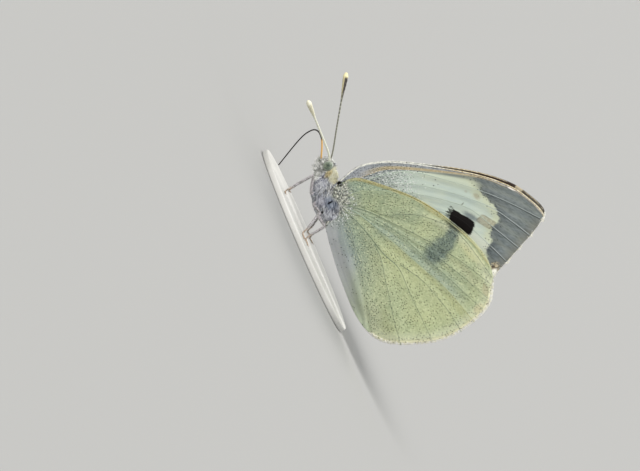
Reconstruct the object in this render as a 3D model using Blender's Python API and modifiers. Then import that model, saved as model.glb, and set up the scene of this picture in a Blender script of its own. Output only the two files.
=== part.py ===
"""A large white butterfly at rest, life size: wings closed over its back, tongue out, on a display base.

Lengths here are millimetres, and MM turns them into Blender's metres. Points are given in the
stance frame: x to the butterfly's left, y backwards from the middle of its thorax, z up from the
level of its soles. The part's own origin is the middle of the base's underside, the head facing -Y.
"""

import math

import bmesh
import bpy
from mathutils import Vector

MM = 0.001

# Display base: a flat oval that stands further back than the feet, under the weight of the wings.
BASE_LENGTH = 30.0
BASE_WIDTH = 20.0
BASE_THICK = 1.0
BASE_EDGE = 0.25
THORAX_AHEAD = 4.0  # the thorax's middle, ahead of the base's middle

# Fit between pieces that touch.
FIT = 0.05

# Trunk: half sizes are (across, along, up).
THORAX_CENTRE = (0.0, 0.0, 5.55)
THORAX_HALF = (2.3, 4.0, 2.85)
THORAX_PITCH = 10.0
CHEST_PUSH = 0.85  # how far the chest swells forward under the head
CHEST_LOW = 0.95  # below the thorax's own middle line
CHEST_REACH = 1.1
HEAD_CENTRE = (0.0, -4.95, 7.15)
HEAD_HALF = (1.2, 1.4, 1.45)
HEAD_PITCH = 20.0
EYE_CENTRE = (0.98, -4.97, 7.48)
EYE_HALF = (0.7, 0.76, 0.86)
ABDOMEN_CENTRE = (0.0, 9.7, 4.45)
ABDOMEN_HALF = (1.65, 6.9, 1.75)
ABDOMEN_PITCH = 3.5
PALP_CENTRE = (0.5, -5.75, 6.0)
PALP_HALF = (0.36, 0.48, 1.15)
PALP_PITCH = -42.0

# Antennae end in a club. The left one reaches out sideways, the right one up and forwards.
ANTENNA_RADIUS = 0.25
CLUB_RADIUS = 0.42
CLUB_SHARE = 0.2
ANTENNA_ROUTES = {
    "antenna_left": ((0.45, -5.4, 7.8), (1.3, -6.7, 8.35), (4.1, -9.85, 8.65), (9.6, -14.95, 9.15)),
    "antenna_right": ((-0.45, -5.4, 7.8), (-0.8, -6.7, 8.9), (-2.0, -10.4, 11.2), (-4.6, -16.9, 15.3)),
}

# Tongue: straight out, over in a knee, and down to just above the base.
TONGUE_RADIUS = 0.25
TONGUE_ROUTE = (
    (0.0, -5.7, 6.5),
    (0.0, -8.1, 7.75),
    (0.0, -9.45, 8.2),
    (0.0, -10.55, 8.05),
    (0.0, -10.95, 7.15),
    (0.0, -10.45, 5.1),
    (0.0, -8.1, 0.5),
)

# Legs, left side: hip, trochanter, knee, ankle, heel and claw.
FEMUR_RADIUS = 0.34
SHANK_RADIUS = 0.27
SOLE_RADIUS = 0.26
SOLE_HEIGHT = 0.16  # the foot's middle line above the soles, so that its underside is cut flat
LEG_ROUTES = {
    "foreleg": ((0.8, -1.7, 4.4), (1.2, -2.1, 3.35), (2.0, -4.6, 4.95), (3.3, -4.2, 1.3), (3.9, -4.0), (5.2, -3.7)),
    "midleg": ((0.9, -0.5, 4.0), (1.35, -0.5, 3.05), (3.4, 1.0, 3.7), (5.1, 2.5, 1.2), (5.7, 2.9), (6.8, 3.8)),
    "hindleg": ((0.9, 1.1, 4.0), (1.45, 1.3, 3.05), (3.3, 3.3, 3.5), (3.9, 3.6, 1.1), (4.3, 3.9), (5.3, 4.9)),
}

# Wings: outlines as (y, z) seen from the side, from the front edge round the margin to the inner edge.
WING_THICK = 0.5
LAYER = 0.62  # from the middle of a forewing to the middle of the hindwing over it
FORE_GAP = 0.45  # from the body's middle plane to the middle of a closed forewing
FORE_HINGE_X = 1.6
HINGE_REACH = 4.0  # the wings close in on each other over about this distance from the hinge
FLARE = 0.35  # how far a wing tip leans out again
FOREWING_ROOT = ((-1.9, 7.1), (-0.3, 6.6))
FOREWING_OUTLINE = (
    (-2.3, 8.7), (-3.0, 11.7), (-1.75, 16.4), (1.78, 22.62), (5.48, 28.12), (9.0, 31.87), (12.35, 33.93),
    (14.7, 34.7), (16.15, 33.8), (18.6, 28.9), (20.75, 23.9), (21.4, 19.7), (20.0, 17.3), (12.0, 12.3),
    (5.5, 8.9), (1.3, 6.9),
)
HINDWING_ROOT = ((-1.7, 7.4), (3.1, 3.6))
HINDWING_OUTLINE = (
    (-1.6, 8.2), (-1.85, 9.5), (-0.95, 11.75), (4.2, 17.3), (8.7, 20.55), (13.7, 23.1), (18.0, 24.15),
    (21.7, 23.4), (24.85, 20.8), (26.45, 14.2), (25.2, 8.5), (22.75, 4.1), (18.5, 2.38), (12.0, 2.35),
    (6.95, 2.85), (3.75, 3.35),
)
GUTTER_X = 2.2  # the hindwing's middle surface beside the abdomen
GUTTER_ABOVE = 2.3
GUTTER_BELOW = 1.8
GUTTER_START = 1.5
GUTTER_END = 19.5  # behind this the two inner edges lie flat together
GUTTER_FADE = 4.5
TAIL_GAP = 0.45
TAIL_TOP = 3.0  # from here up the hindwings open until they lie over the forewings
TAIL_FADE = 4.0
RIGHT_FORE_LEAN = 1.0  # degrees that the far forewing stands further forward

# Facets.
SEGMENTS_ROUND = 22
SEGMENTS_ALONG = 14
WING_COLUMNS = 44
WING_ROWS = 6
ROW_CROWDING = 1.4  # rows lie closer together near the root


def at(x, y, z):
    """A point of the stance frame in the part's own frame, in metres."""
    return Vector((x, y - THORAX_AHEAD, z + BASE_THICK)) * MM


def clear_scene():
    for old in list(bpy.data.objects):
        bpy.data.objects.remove(old, do_unlink=True)


def collection(name):
    made = bpy.data.collections.new(name)
    bpy.context.scene.collection.children.link(made)
    return made


def material(name, colour, roughness, metallic=0.0):
    made = bpy.data.materials.new(name)
    made.use_nodes = True
    surface = made.node_tree.nodes["Principled BSDF"]
    surface.inputs["Base Color"].default_value = (*colour, 1.0)
    surface.inputs["Roughness"].default_value = roughness
    surface.inputs["Metallic"].default_value = metallic
    return made


def shade(obj, finish, home):
    """Gives an object its material and its collection, and shades it smooth."""
    for old in list(obj.users_collection):
        old.objects.unlink(obj)
    home.objects.link(obj)
    obj.data.materials.clear()
    obj.data.materials.append(finish)
    obj.data.shade_smooth()
    return obj


def object_from(name, bm, finish, home):
    mesh = bpy.data.meshes.new(name)
    bm.to_mesh(mesh)
    bm.free()
    return shade(bpy.data.objects.new(name, mesh), finish, home)


def ellipsoid(name, centre, half, pitch, finish, home, taper=0.0, segments=SEGMENTS_ROUND, rings=SEGMENTS_ALONG):
    """An ellipsoid along y, pitched about x. With taper, its rear is narrower than its front."""
    bpy.ops.mesh.primitive_uv_sphere_add(segments=segments, ring_count=rings, radius=1.0)
    made = bpy.context.object
    made.name = name
    for vertex in made.data.vertices:
        x, along, up = vertex.co.x, vertex.co.z, vertex.co.y
        width = 1.0 - taper * along
        vertex.co = Vector((-x * half[0] * width, along * half[1], up * half[2] * width)) * MM
    made.location = at(*centre)
    made.rotation_euler.x = math.radians(-pitch)
    return shade(made, finish, home)


def swell_chest(thorax):
    """Pushes the front of the thorax forward below the head, where the forelegs' hips are."""
    for vertex in thorax.data.vertices:
        across, along, up = vertex.co / MM
        ahead = max(0.0, -along / THORAX_HALF[1]) ** 2
        near = math.exp(-(((up + CHEST_LOW) / CHEST_REACH) ** 2) - (across / CHEST_REACH) ** 2)
        vertex.co.y -= CHEST_PUSH * ahead * near * MM


def inflated(original, name, home):
    """A copy of an object that stands out by the fit, to cut its neighbours with."""
    cutter = bpy.data.objects.new(name, original.data.copy())
    home.objects.link(cutter)
    cutter.location = original.location
    cutter.rotation_euler = original.rotation_euler
    for vertex in cutter.data.vertices:
        vertex.co += vertex.normal * FIT * MM
    cutter.hide_render = True
    cutter.display_type = "WIRE"
    return cutter


def cut(obj, *cutters):
    for cutter in cutters:
        trim = obj.modifiers.new("clear of " + cutter.name, "BOOLEAN")
        trim.operation = "DIFFERENCE"
        trim.solver = "EXACT"
        trim.object = cutter


def smooth_route(points, count):
    """Points along a smooth curve through the given ones, evenly in the curve's parameter."""
    known = [Vector(p) for p in points]
    ends = [2 * known[0] - known[1], *known, 2 * known[-1] - known[-2]]
    route = []
    for step in range(count):
        place = step / (count - 1) * (len(known) - 1)
        i = min(int(place), len(known) - 2)
        t = place - i
        a, b, c, d = ends[i : i + 4]
        route.append(
            0.5 * (2 * b + (c - a) * t + (2 * a - 5 * b + 4 * c - d) * t * t + (3 * b - 3 * c + d - a) * t**3)
        )
    return route


def tube(name, route, radii, finish, home):
    """A closed tube through the route's points, in the stance frame, with a radius at each, as a mesh."""
    curve = bpy.data.curves.new(name, "CURVE")
    curve.dimensions = "3D"
    curve.bevel_depth = MM
    curve.bevel_resolution = 2
    curve.use_fill_caps = True
    spline = curve.splines.new("POLY")
    spline.points.add(len(route) - 1)
    for point, place, radius in zip(spline.points, route, radii, strict=True):
        point.co = (*at(*place), 1.0)
        point.radius = radius
    guide = bpy.data.objects.new(name + "_guide", curve)
    home.objects.link(guide)
    bpy.context.view_layer.update()
    graph = bpy.context.evaluated_depsgraph_get()
    mesh = bpy.data.meshes.new_from_object(guide.evaluated_get(graph))
    bpy.data.objects.remove(guide, do_unlink=True)
    bm = bmesh.new()
    bm.from_mesh(mesh)
    bmesh.ops.remove_doubles(bm, verts=bm.verts, dist=0.001 * MM)
    bmesh.ops.recalc_face_normals(bm, faces=bm.faces)
    return object_from(name, bm, finish, home)


def antenna(name, route, finish, home):
    """A thin whip that swells into a blunt club."""
    places = smooth_route(route, 15)
    radii = []
    for step in range(len(places)):
        share = step / (len(places) - 1)
        swell = max(0.0, (share - 1 + CLUB_SHARE) / CLUB_SHARE)
        radii.append(ANTENNA_RADIUS + (CLUB_RADIUS - ANTENNA_RADIUS) * math.sin(swell * math.pi / 2) ** 2)
    tip = places[-1] + (places[-1] - places[-2]).normalized() * CLUB_RADIUS * 0.6
    return tube(name, [*places, tip], [*radii, CLUB_RADIUS * 0.5], finish, home)


def tongue(finish, home):
    places = smooth_route(TONGUE_ROUTE, 18)
    return tube("proboscis", places, [TONGUE_RADIUS] * len(places), finish, home)


def leg(name, route, side, finish, home):
    """A leg from hip to claw, its foot's underside cut flat at the level of the soles."""
    hip, trochanter, knee, ankle, heel, claw = (Vector((*p, SOLE_HEIGHT)[:3]) for p in route)
    places = [
        hip,
        trochanter,
        trochanter.lerp(knee, 0.5),
        knee.lerp(trochanter, 0.08),
        knee.lerp(ankle, 0.08),
        ankle,
        heel,
        claw.lerp(heel, 0.15),
        claw,
    ]
    radii = [
        FEMUR_RADIUS,
        FEMUR_RADIUS,
        FEMUR_RADIUS,
        SHANK_RADIUS * 1.05,
        SHANK_RADIUS,
        SHANK_RADIUS,
        SOLE_RADIUS,
        SOLE_RADIUS,
        SOLE_RADIUS * 0.8,
    ]
    made = tube(name, [Vector((p.x * side, p.y, p.z)) for p in places], radii, finish, home)
    bm = bmesh.new()
    bm.from_mesh(made.data)
    level = at(0, 0, FIT)
    below = bmesh.ops.bisect_plane(
        bm, geom=[*bm.verts, *bm.edges, *bm.faces], plane_co=level, plane_no=(0, 0, 1), clear_inner=True
    )
    rim = [part for part in below["geom_cut"] if isinstance(part, bmesh.types.BMEdge)]
    bmesh.ops.holes_fill(bm, edges=rim, sides=0)
    bmesh.ops.recalc_face_normals(bm, faces=bm.faces)
    bm.to_mesh(made.data)
    bm.free()
    return made


def fade(value):
    """Goes smoothly from 0 to 1 as value does."""
    value = min(1.0, max(0.0, value))
    return value * value * (3 - 2 * value)


def forewing_spread(y, z):
    """How far the middle of a closed forewing is from the body's middle plane."""
    reach = math.hypot(y - FOREWING_ROOT[0][0], z - FOREWING_ROOT[0][1])
    closing = (FORE_HINGE_X - FORE_GAP) * math.exp(-((reach / HINGE_REACH) ** 2))
    return FORE_GAP + closing + FLARE * (reach / 30.0) ** 3


def abdomen_height(y):
    """The height of the abdomen's middle line."""
    return ABDOMEN_CENTRE[2] - math.tan(math.radians(ABDOMEN_PITCH)) * (y - ABDOMEN_CENTRE[1])


def hindwing_spread(y, z):
    """The same for a hindwing: over the forewing above, and round the abdomen below."""
    over = forewing_spread(y, z) + LAYER
    flat = TAIL_GAP + (over - TAIL_GAP) * fade((z - TAIL_TOP) / TAIL_FADE)
    height = z - abdomen_height(y)
    width = GUTTER_ABOVE if height > 0 else GUTTER_BELOW
    beside_body = fade((GUTTER_END - y) / GUTTER_FADE) * fade((y - GUTTER_START) / GUTTER_FADE)
    return flat + (GUTTER_X - flat) * math.exp(-((height / width) ** 2)) * beside_body


def wing(name, root, outline, spread, side, finish, home):
    """A wing as a grid from its root to its outline, bent by the spread function, then thickened."""
    hinge = at(0, *root[0])
    margin = smooth_route([(0, y, z) for y, z in outline], 200)
    bm = bmesh.new()
    bmesh.ops.create_grid(bm, x_segments=WING_COLUMNS, y_segments=WING_ROWS, size=0.5)
    for vertex in bm.verts:
        round_margin, outwards = vertex.co.x + 0.5, (vertex.co.y + 0.5) ** ROW_CROWDING
        start = Vector((0, *root[0])).lerp(Vector((0, *root[1])), round_margin)
        edge = margin[round(round_margin * (len(margin) - 1))]
        place = start.lerp(edge, outwards)
        vertex.co = at(spread(place.y, place.z) * side, place.y, place.z) - hinge
    bmesh.ops.recalc_face_normals(bm, faces=bm.faces)
    made = object_from(name, bm, finish, home)
    made.location = hinge
    thick = made.modifiers.new("thickness", "SOLIDIFY")
    thick.thickness = WING_THICK * MM
    thick.offset = 0.0
    return made


def display_base(finish, home):
    """An oval plate whose top the soles rest on."""
    bpy.ops.mesh.primitive_cylinder_add(vertices=40, radius=0.5, depth=1.0)
    made = bpy.context.object
    made.name = "stand_base"
    for vertex in made.data.vertices:
        vertex.co = Vector((vertex.co.x * BASE_WIDTH, vertex.co.y * BASE_LENGTH, vertex.co.z * BASE_THICK)) * MM
    made.location = (0.0, 0.0, BASE_THICK / 2 * MM)
    shade(made, finish, home)
    made.data.set_sharp_from_angle(angle=math.radians(40))
    edge = made.modifiers.new("edge", "BEVEL")
    edge.width = BASE_EDGE * MM
    edge.segments = 1
    edge.limit_method = "ANGLE"
    return made


def mirrored(point):
    return (-point[0], *point[1:])


def main():
    clear_scene()
    home = collection("large_white_butterfly")
    tools = collection("cutters")
    fur = material("fur", (0.42, 0.44, 0.50), 0.9)
    scaled_abdomen = material("abdomen_scales", (0.55, 0.56, 0.55), 0.85)
    eye_green = material("eye", (0.20, 0.27, 0.19), 0.25)
    shaft = material("antenna", (0.30, 0.30, 0.22), 0.6)
    tongue_black = material("proboscis", (0.05, 0.04, 0.03), 0.4)
    leg_scales = material("leg_scales", (0.55, 0.53, 0.46), 0.7)
    white_wing = material("forewing", (0.60, 0.64, 0.56), 0.6)
    yellow_wing = material("hindwing", (0.50, 0.54, 0.32), 0.6)
    base_grey = material("base", (0.62, 0.62, 0.60), 0.5)

    display_base(base_grey, home)
    thorax = ellipsoid("thorax", THORAX_CENTRE, THORAX_HALF, THORAX_PITCH, fur, home)
    swell_chest(thorax)
    thorax_cutter = inflated(thorax, "cut_thorax", tools)
    head = ellipsoid("head", HEAD_CENTRE, HEAD_HALF, HEAD_PITCH, fur, home, segments=18, rings=12)
    head_cutter = inflated(head, "cut_head", tools)
    abdomen = ellipsoid(
        "abdomen", ABDOMEN_CENTRE, ABDOMEN_HALF, ABDOMEN_PITCH, scaled_abdomen, home, taper=0.12, segments=18
    )
    abdomen_cutter = inflated(abdomen, "cut_abdomen", tools)
    cut(head, thorax_cutter)
    cut(abdomen, thorax_cutter)

    for side, suffix in ((1, "left"), (-1, "right")):
        place = mirrored if side < 0 else tuple
        eye = ellipsoid("eye_" + suffix, place(EYE_CENTRE), EYE_HALF, 0, eye_green, home, segments=14, rings=9)
        cut(head, inflated(eye, "cut_eye_" + suffix, tools))
        palp = ellipsoid(
            "palp_" + suffix, place(PALP_CENTRE), PALP_HALF, PALP_PITCH, fur, home, segments=10, rings=8
        )
        cut(palp, head_cutter, thorax_cutter)
        for kind, route in LEG_ROUTES.items():
            cut(leg(f"{kind}_{suffix}", route, side, leg_scales, home), thorax_cutter)
        forewing = wing(
            "forewing_" + suffix, FOREWING_ROOT, FOREWING_OUTLINE, forewing_spread, side, white_wing, home
        )
        hindwing = wing(
            "hindwing_" + suffix, HINDWING_ROOT, HINDWING_OUTLINE, hindwing_spread, side, yellow_wing, home
        )
        cut(forewing, thorax_cutter)
        cut(hindwing, thorax_cutter, abdomen_cutter)
        if side < 0:
            forewing.rotation_euler.x = math.radians(RIGHT_FORE_LEAN)

    for name, route in ANTENNA_ROUTES.items():
        cut(antenna(name, route, shaft, home), head_cutter)
    cut(tongue(tongue_black, home), head_cutter)


main()
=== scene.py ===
"""The looks of a life-size large white butterfly at rest on a small oval base.

Lengths are millimetres in the stance frame: x to the butterfly's left, y backwards from the middle
of its thorax, z up from its soles. placed() turns such points into the model's frame in metres.
"""

from __future__ import annotations

import logging
import math
from collections.abc import Callable, Sequence
from dataclasses import dataclass, field, replace
from enum import Enum

import bmesh
import bpy
import numpy as np
from mathutils import Matrix, Vector, noise

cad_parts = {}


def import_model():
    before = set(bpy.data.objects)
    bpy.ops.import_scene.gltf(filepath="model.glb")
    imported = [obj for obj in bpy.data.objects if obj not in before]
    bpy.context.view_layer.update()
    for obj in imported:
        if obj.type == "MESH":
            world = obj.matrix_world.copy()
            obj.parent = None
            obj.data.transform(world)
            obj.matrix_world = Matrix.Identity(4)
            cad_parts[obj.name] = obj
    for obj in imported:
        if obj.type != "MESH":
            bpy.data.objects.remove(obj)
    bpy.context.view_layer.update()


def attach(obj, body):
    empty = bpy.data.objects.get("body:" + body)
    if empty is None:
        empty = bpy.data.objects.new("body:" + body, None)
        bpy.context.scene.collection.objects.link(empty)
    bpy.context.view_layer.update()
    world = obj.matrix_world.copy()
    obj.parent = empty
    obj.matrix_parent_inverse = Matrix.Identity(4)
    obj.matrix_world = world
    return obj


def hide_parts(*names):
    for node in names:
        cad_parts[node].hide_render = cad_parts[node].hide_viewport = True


LOG = logging.getLogger("butterfly")

MM = 0.001
THORAX_AHEAD = 4.0
BASE_THICK = 1.0
SEED = 20
PATCH = 0.003  # a tuft's share of its coat's colour map
MAP_NAME = "OFBake"

Array = np.ndarray
BMesh = bmesh.types.BMesh
Chance = np.random.Generator
Material = bpy.types.Material
Mesh = bpy.types.Mesh
Piece = bpy.types.Object
Socket = bpy.types.NodeSocket

Point = tuple[float, float]
Place = tuple[float, float, float]
Colour = tuple[float, float, float]  # as a screen shows it, from 0 to 255


class Side(Enum):
    """Which half of the butterfly a piece belongs to."""

    LEFT = 1
    RIGHT = -1

    @property
    def word(self) -> str:
        """The side's name, as the nodes end in it."""
        return self.name.lower()


def placed(points: Array) -> Array:
    """Turns points in stance millimetres, one a row, into the model's metres."""
    return (np.asarray(points, float) + (0.0, -THORAX_AHEAD, BASE_THICK)) * MM


def light_of(colour: Colour) -> list[float]:
    """How much light of each primary a screen's colour stands for."""
    parts = [value / 255 for value in colour]
    return [p / 12.92 if p <= 0.04045 else ((p + 0.055) / 1.055) ** 2.4 for p in parts]


def fade(value: Array | float) -> Array:
    """Goes smoothly from 0 to 1 as value does."""
    value = np.clip(value, 0.0, 1.0)
    return value * value * (3 - 2 * value)


def route(points: Sequence[Sequence[float]], count: int) -> Array:
    """A smooth course through a few points.

    Args:
        points: the points that the course passes through.
        count: how many points to read from it.

    Returns:
        The points read, one a row.
    """
    known = np.asarray(points, float)
    ends = np.vstack([2 * known[0] - known[1], known, 2 * known[-1] - known[-2]])
    place = np.linspace(0, len(known) - 1, count)
    i = np.minimum(place.astype(int), len(known) - 2)
    t = (place - i)[:, None]
    a, b, c, d = ends[i], ends[i + 1], ends[i + 2], ends[i + 3]
    return 0.5 * (2 * b + (c - a) * t + (2 * a - 5 * b + 4 * c - d) * t**2 + (3 * b - 3 * c + d - a) * t**3)


def read(course: Array, shares: Array) -> Array:
    """Reads a course, whose points are rows, at some shares of the way along it."""
    steps = np.linspace(0, 1, len(course))
    return np.stack([np.interp(shares, steps, course[:, k]) for k in range(course.shape[1])], axis=1)


def in_box(places: Array, points: Array) -> Array:
    """Where places lie in the box round some points, from 0 to 1 each way."""
    low, high = points.min(axis=0), points.max(axis=0)
    return np.clip((places - low) / (high - low), 0.0, 1.0)


def nearest_on(places: Array, course: Array) -> tuple[Array, Array]:
    """Finds the point of a course that is nearest to each place.

    Args:
        places: the places, one a row.
        course: the course's points, one a row.

    Returns:
        The nearest points' numbers, and how far away they are.
    """
    number = np.zeros(len(places), dtype=int)
    nearest = np.full(len(places), np.inf)
    for k, point in enumerate(course):
        gap = ((places - point) ** 2).sum(axis=1)
        closer = gap < nearest
        nearest[closer], number[closer] = gap[closer], k
    return number, np.sqrt(nearest)


def beyond(places: Array, course: Array) -> Array:
    """How far each place lies to the left of a course in its plane.

    Args:
        places: the places, one a row.
        course: the course's points, one a row.

    Returns:
        The distances, below zero to the right of the course.
    """
    number, away = nearest_on(places, course)
    ahead = np.gradient(course, axis=0)[number]
    offset = places - course[number]
    return away * np.sign(ahead[:, 0] * offset[:, 1] - ahead[:, 1] * offset[:, 0])


def within(places: Array, course: Array, widths: Array) -> Array:
    """How far each place is from a course, as a share of the course's half width there.

    Args:
        places: the places, one a row.
        course: the course's points, one a row.
        widths: its half width at each of them.

    Returns:
        The shares: 1 on the course's edge.
    """
    nearest = np.full(len(places), np.inf)
    for point, width in zip(course, widths):
        nearest = np.minimum(nearest, np.linalg.norm(places - point, axis=1) / width)
    return nearest


def spaced(places: Array, gap: float) -> Array:
    """Chooses places, in their order, that are at least a gap apart.

    Args:
        places: the places in a plane, one a row.
        gap: the least distance between two of them.

    Returns:
        Which places are chosen.
    """
    taken: dict[tuple[int, int], list[Array]] = {}
    chosen = np.zeros(len(places), dtype=bool)
    near = [(i, j) for i in (-1, 0, 1) for j in (-1, 0, 1)]
    for k, place in enumerate(places):
        home = (int(place[0] // gap), int(place[1] // gap))
        around = (other for i, j in near for other in taken.get((home[0] + i, home[1] + j), ()))
        if all((place[0] - o[0]) ** 2 + (place[1] - o[1]) ** 2 > gap * gap for o in around):
            taken.setdefault(home, []).append(place)
            chosen[k] = True
    return chosen


# ---------------------------------------------------------------------------------------------
# Paint: materials written as sums.


def operator(operation: str, reflected: bool = False) -> Callable[..., Amount]:
    """Makes one of Amount's operators from a Math node's operation.

    Args:
        operation: the node's operation.
        reflected: whether the amount comes second.

    Returns:
        The operator's method.
    """

    def method(self: Amount, *others: float | Amount) -> Amount:
        """The operation's result."""
        return self.brush.sum(operation, *((*others, self) if reflected else (self, *others)))

    return method


class Amount:
    """A number that a shader node gives, which Python's operators do sums with."""

    def __init__(self, brush: Brush, socket: Socket) -> None:
        """Keeps the socket and the brush that sums are written with."""
        self.brush, self.socket = brush, socket

    __add__ = __radd__ = operator("ADD")
    __sub__, __rsub__ = operator("SUBTRACT"), operator("SUBTRACT", reflected=True)
    __mul__ = __rmul__ = operator("MULTIPLY")
    __truediv__ = operator("DIVIDE")
    __pow__ = operator("POWER")
    __abs__ = operator("ABSOLUTE")
    most = operator("MAXIMUM")


Paintable = Amount | Socket | float | Sequence[float]


class Brush:
    """Writes one material, reading places on the model in stance millimetres."""

    def __init__(self, name: str) -> None:
        """Starts a material.

        Args:
            name: its name.
        """
        self.material = bpy.data.materials.new(name)
        self.material.use_nodes = True
        self.tree = self.material.node_tree
        self.surface = self.tree.nodes["Principled BSDF"]
        here = self.node("ShaderNodeTexCoord").outputs["Object"]
        here = self.vectors("SCALE", {"Vector": here, "Scale": 1 / MM})
        self.here = self.vectors("ADD", {0: here, 1: (0.0, THORAX_AHEAD, -BASE_THICK)})
        parts = self.node("ShaderNodeSeparateXYZ", {}, {0: self.here}).outputs
        self.x, self.y, self.z = (Amount(self, part) for part in parts)

    def node(
        self,
        kind: str,
        settings: dict[str, object] | None = None,
        sockets: dict[str | int, Paintable] | None = None,
    ) -> bpy.types.Node:
        """Adds a node.

        Args:
            kind: the node's type.
            settings: its own settings, which are set first.
            sockets: values or links for its inputs.

        Returns:
            The node.
        """
        made = self.tree.nodes.new(kind)
        for key, value in (settings or {}).items():
            setattr(made, key, value)
        for key, value in (sockets or {}).items():
            self._feed(made.inputs[key], value)
        return made

    def _feed(self, socket: Socket, value: Paintable) -> None:
        """Links a value to an input, or sets it.

        Args:
            socket: the input.
            value: an amount, a socket, a number, a vector or a screen's colour.
        """
        if isinstance(value, Amount):
            value = value.socket
        if isinstance(value, Socket):
            self.tree.links.new(value, socket)
        else:
            socket.default_value = (*light_of(value), 1.0) if socket.type == "RGBA" else value

    def vectors(self, operation: str, sockets: dict[str | int, Paintable]) -> Socket:
        """A Vector Math node's result."""
        return self.node("ShaderNodeVectorMath", {"operation": operation}, sockets).outputs[0]

    def amount(self, output: str | int, *node: object) -> Amount:
        """One output of a new node."""
        return Amount(self, self.node(*node).outputs[output])

    def sum(self, operation: str, *values: float | Amount) -> Amount:
        """A Math node's result."""
        return self.amount(0, "ShaderNodeMath", {"operation": operation}, dict(enumerate(values)))

    def ramp(self, value: Amount, low: float, high: float) -> Amount:
        """Goes smoothly from 0 at low to 1 at high."""
        sockets = {"Value": value, "From Min": low, "From Max": high}
        return self.amount("Result", "ShaderNodeMapRange", {"interpolation_type": "SMOOTHSTEP"}, sockets)

    def band(self, value: Amount, low: float, high: float, soft: float) -> Amount:
        """1 between low and high, with soft edges."""
        return self.ramp(value, low - soft, low + soft) * self.ramp(value, high + soft, high - soft)

    def kept(self, name: str) -> Amount:
        """A number that the mesh keeps at each point."""
        settings = {"attribute_type": "GEOMETRY", "attribute_name": name}
        return self.amount("Fac", "ShaderNodeAttribute", settings)

    def _at(self, size: float, stretch: Sequence[float], turn: float) -> Socket:
        """Scales and turns the places that a texture reads.

        Args:
            size: the size of a cloud or grain, in millimetres.
            stretch: how much longer it is along x, y and z.
            turn: how far the stretch is turned about x, in degrees.

        Returns:
            The places.
        """
        where = self.here
        if turn:
            sockets = {"Vector": where, "Rotation": (math.radians(-turn), 0, 0)}
            where = self.node("ShaderNodeMapping", {"vector_type": "POINT"}, sockets).outputs[0]
        return self.vectors("MULTIPLY", {0: where, 1: tuple(1 / (size * s) for s in stretch)})

    def noise(
        self, size: float, detail: float = 2, stretch: Sequence[float] = (1, 1, 1), turn: float = 0
    ) -> Amount:
        """Cloudy noise about 0.5, with clouds of one size that may be stretched and turned."""
        sockets = {"Vector": self._at(size, stretch, turn), "Scale": 1, "Detail": detail, "Roughness": 0.55}
        return self.amount("Fac", "ShaderNodeTexNoise", {}, sockets)

    def grains(self, size: float, stretch: Sequence[float] = (1, 1, 1), turn: float = 0) -> Amount:
        """Distance from the middle of the nearest grain, as on overlapping scales."""
        sockets = {"Vector": self._at(size, stretch, turn), "Scale": 1}
        return self.amount("Distance", "ShaderNodeTexVoronoi", {}, sockets)

    def blot(self, centre: Point, half: Point, turn: float = 0.0) -> Amount:
        """How far a place is from the middle of an oval in the side view: 1 on its edge."""
        along, across = self._turned(centre, turn)
        return ((along / half[0]) ** 2 + (across / half[1]) ** 2) ** 0.5

    def dab(
        self,
        centre: Point,
        half: Point,
        turn: float,
        outer: float,
        inner: float,
        noise: Amount | None = None,
        ragged: float = 0,
    ) -> Amount:
        """An oval mark that starts at its outer share and is full at its inner one, with a ragged edge."""
        away = self.blot(centre, half, turn)
        return self.ramp(away if noise is None else away + (noise - 0.5) * ragged, outer, inner)

    def lozenge(self, centre: Point, half: Point, turn: float, lean: float) -> Amount:
        """Like blot, for a parallelogram with blunt corners whose short sides lean."""
        along, across = self._turned(centre, turn)
        return ((abs(along - across * lean) / half[0]) ** 5 + (abs(across) / half[1]) ** 5) ** 0.2

    def _turned(self, centre: Point, turn: float) -> tuple[Amount, Amount]:
        """Measures places along and across a direction.

        Args:
            centre: where both distances are 0, as (y, z).
            turn: the direction's angle above +y, in degrees.

        Returns:
            The distance along it, and the distance across it.
        """
        c, s = math.cos(math.radians(turn)), math.sin(math.radians(turn))
        y, z = self.y - centre[0], self.z - centre[1]
        return y * c + z * s, z * c - y * s

    def blend(self, share: Amount | float, first: Paintable, second: Paintable) -> Socket:
        """Mixes two colours, with a share of the second."""
        return self.node("ShaderNodeMix", {"data_type": "RGBA"}, {0: share, 6: first, 7: second}).outputs[2]

    def between(self, value: Amount, low: float, high: float, first: Paintable, second: Paintable) -> Socket:
        """Goes smoothly from the first colour at low to the second at high."""
        return self.blend(self.ramp(value, low, high), first, second)

    def layered(self, ground: Paintable, *layers: tuple[Amount, Paintable]) -> Paintable:
        """Lays colours over a ground.

        Args:
            ground: the first colour.
            layers: each mask, and the colour that shows through it.

        Returns:
            The last layer's colour.
        """
        for mask, colour in layers:
            ground = self.blend(mask, ground, colour)
        return ground

    def bump(self, height: Amount, depth: float) -> Socket:
        """A bump whose height is depth millimetres where the amount is 1."""
        sockets = {"Height": height, "Distance": depth * MM, "Strength": 1}
        return self.node("ShaderNodeBump", {}, sockets).outputs[0]

    def done(
        self,
        colour: Paintable,
        roughness: Amount | float,
        normal: Socket | None = None,
        glow: tuple[Amount | float, Colour] | None = None,
        shine: float = 0.5,
    ) -> Material:
        """Joins everything to the surface.

        Args:
            colour: the base colour.
            roughness: the roughness.
            normal: the bump's normal.
            glow: how much light shines through a thin sheet, and that light's colour.
            shine: how strongly it mirrors.

        Returns:
            The material.
        """
        sockets = {"Base Color": colour, "Roughness": roughness, "Specular IOR Level": shine,
            "Normal": normal}
        for name, value in sockets.items():
            if value is not None:
                self._feed(self.surface.inputs[name], value)
        if glow is not None:
            through = self.node("ShaderNodeBsdfTranslucent", {}, {"Color": glow[1]})
            sockets = {0: glow[0], 1: self.surface.outputs[0], 2: through.outputs[0]}
            mixed = self.node("ShaderNodeMixShader", {}, sockets)
            self.tree.links.new(mixed.outputs[0], self.tree.nodes["Material Output"].inputs["Surface"])
        return self.material


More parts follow.
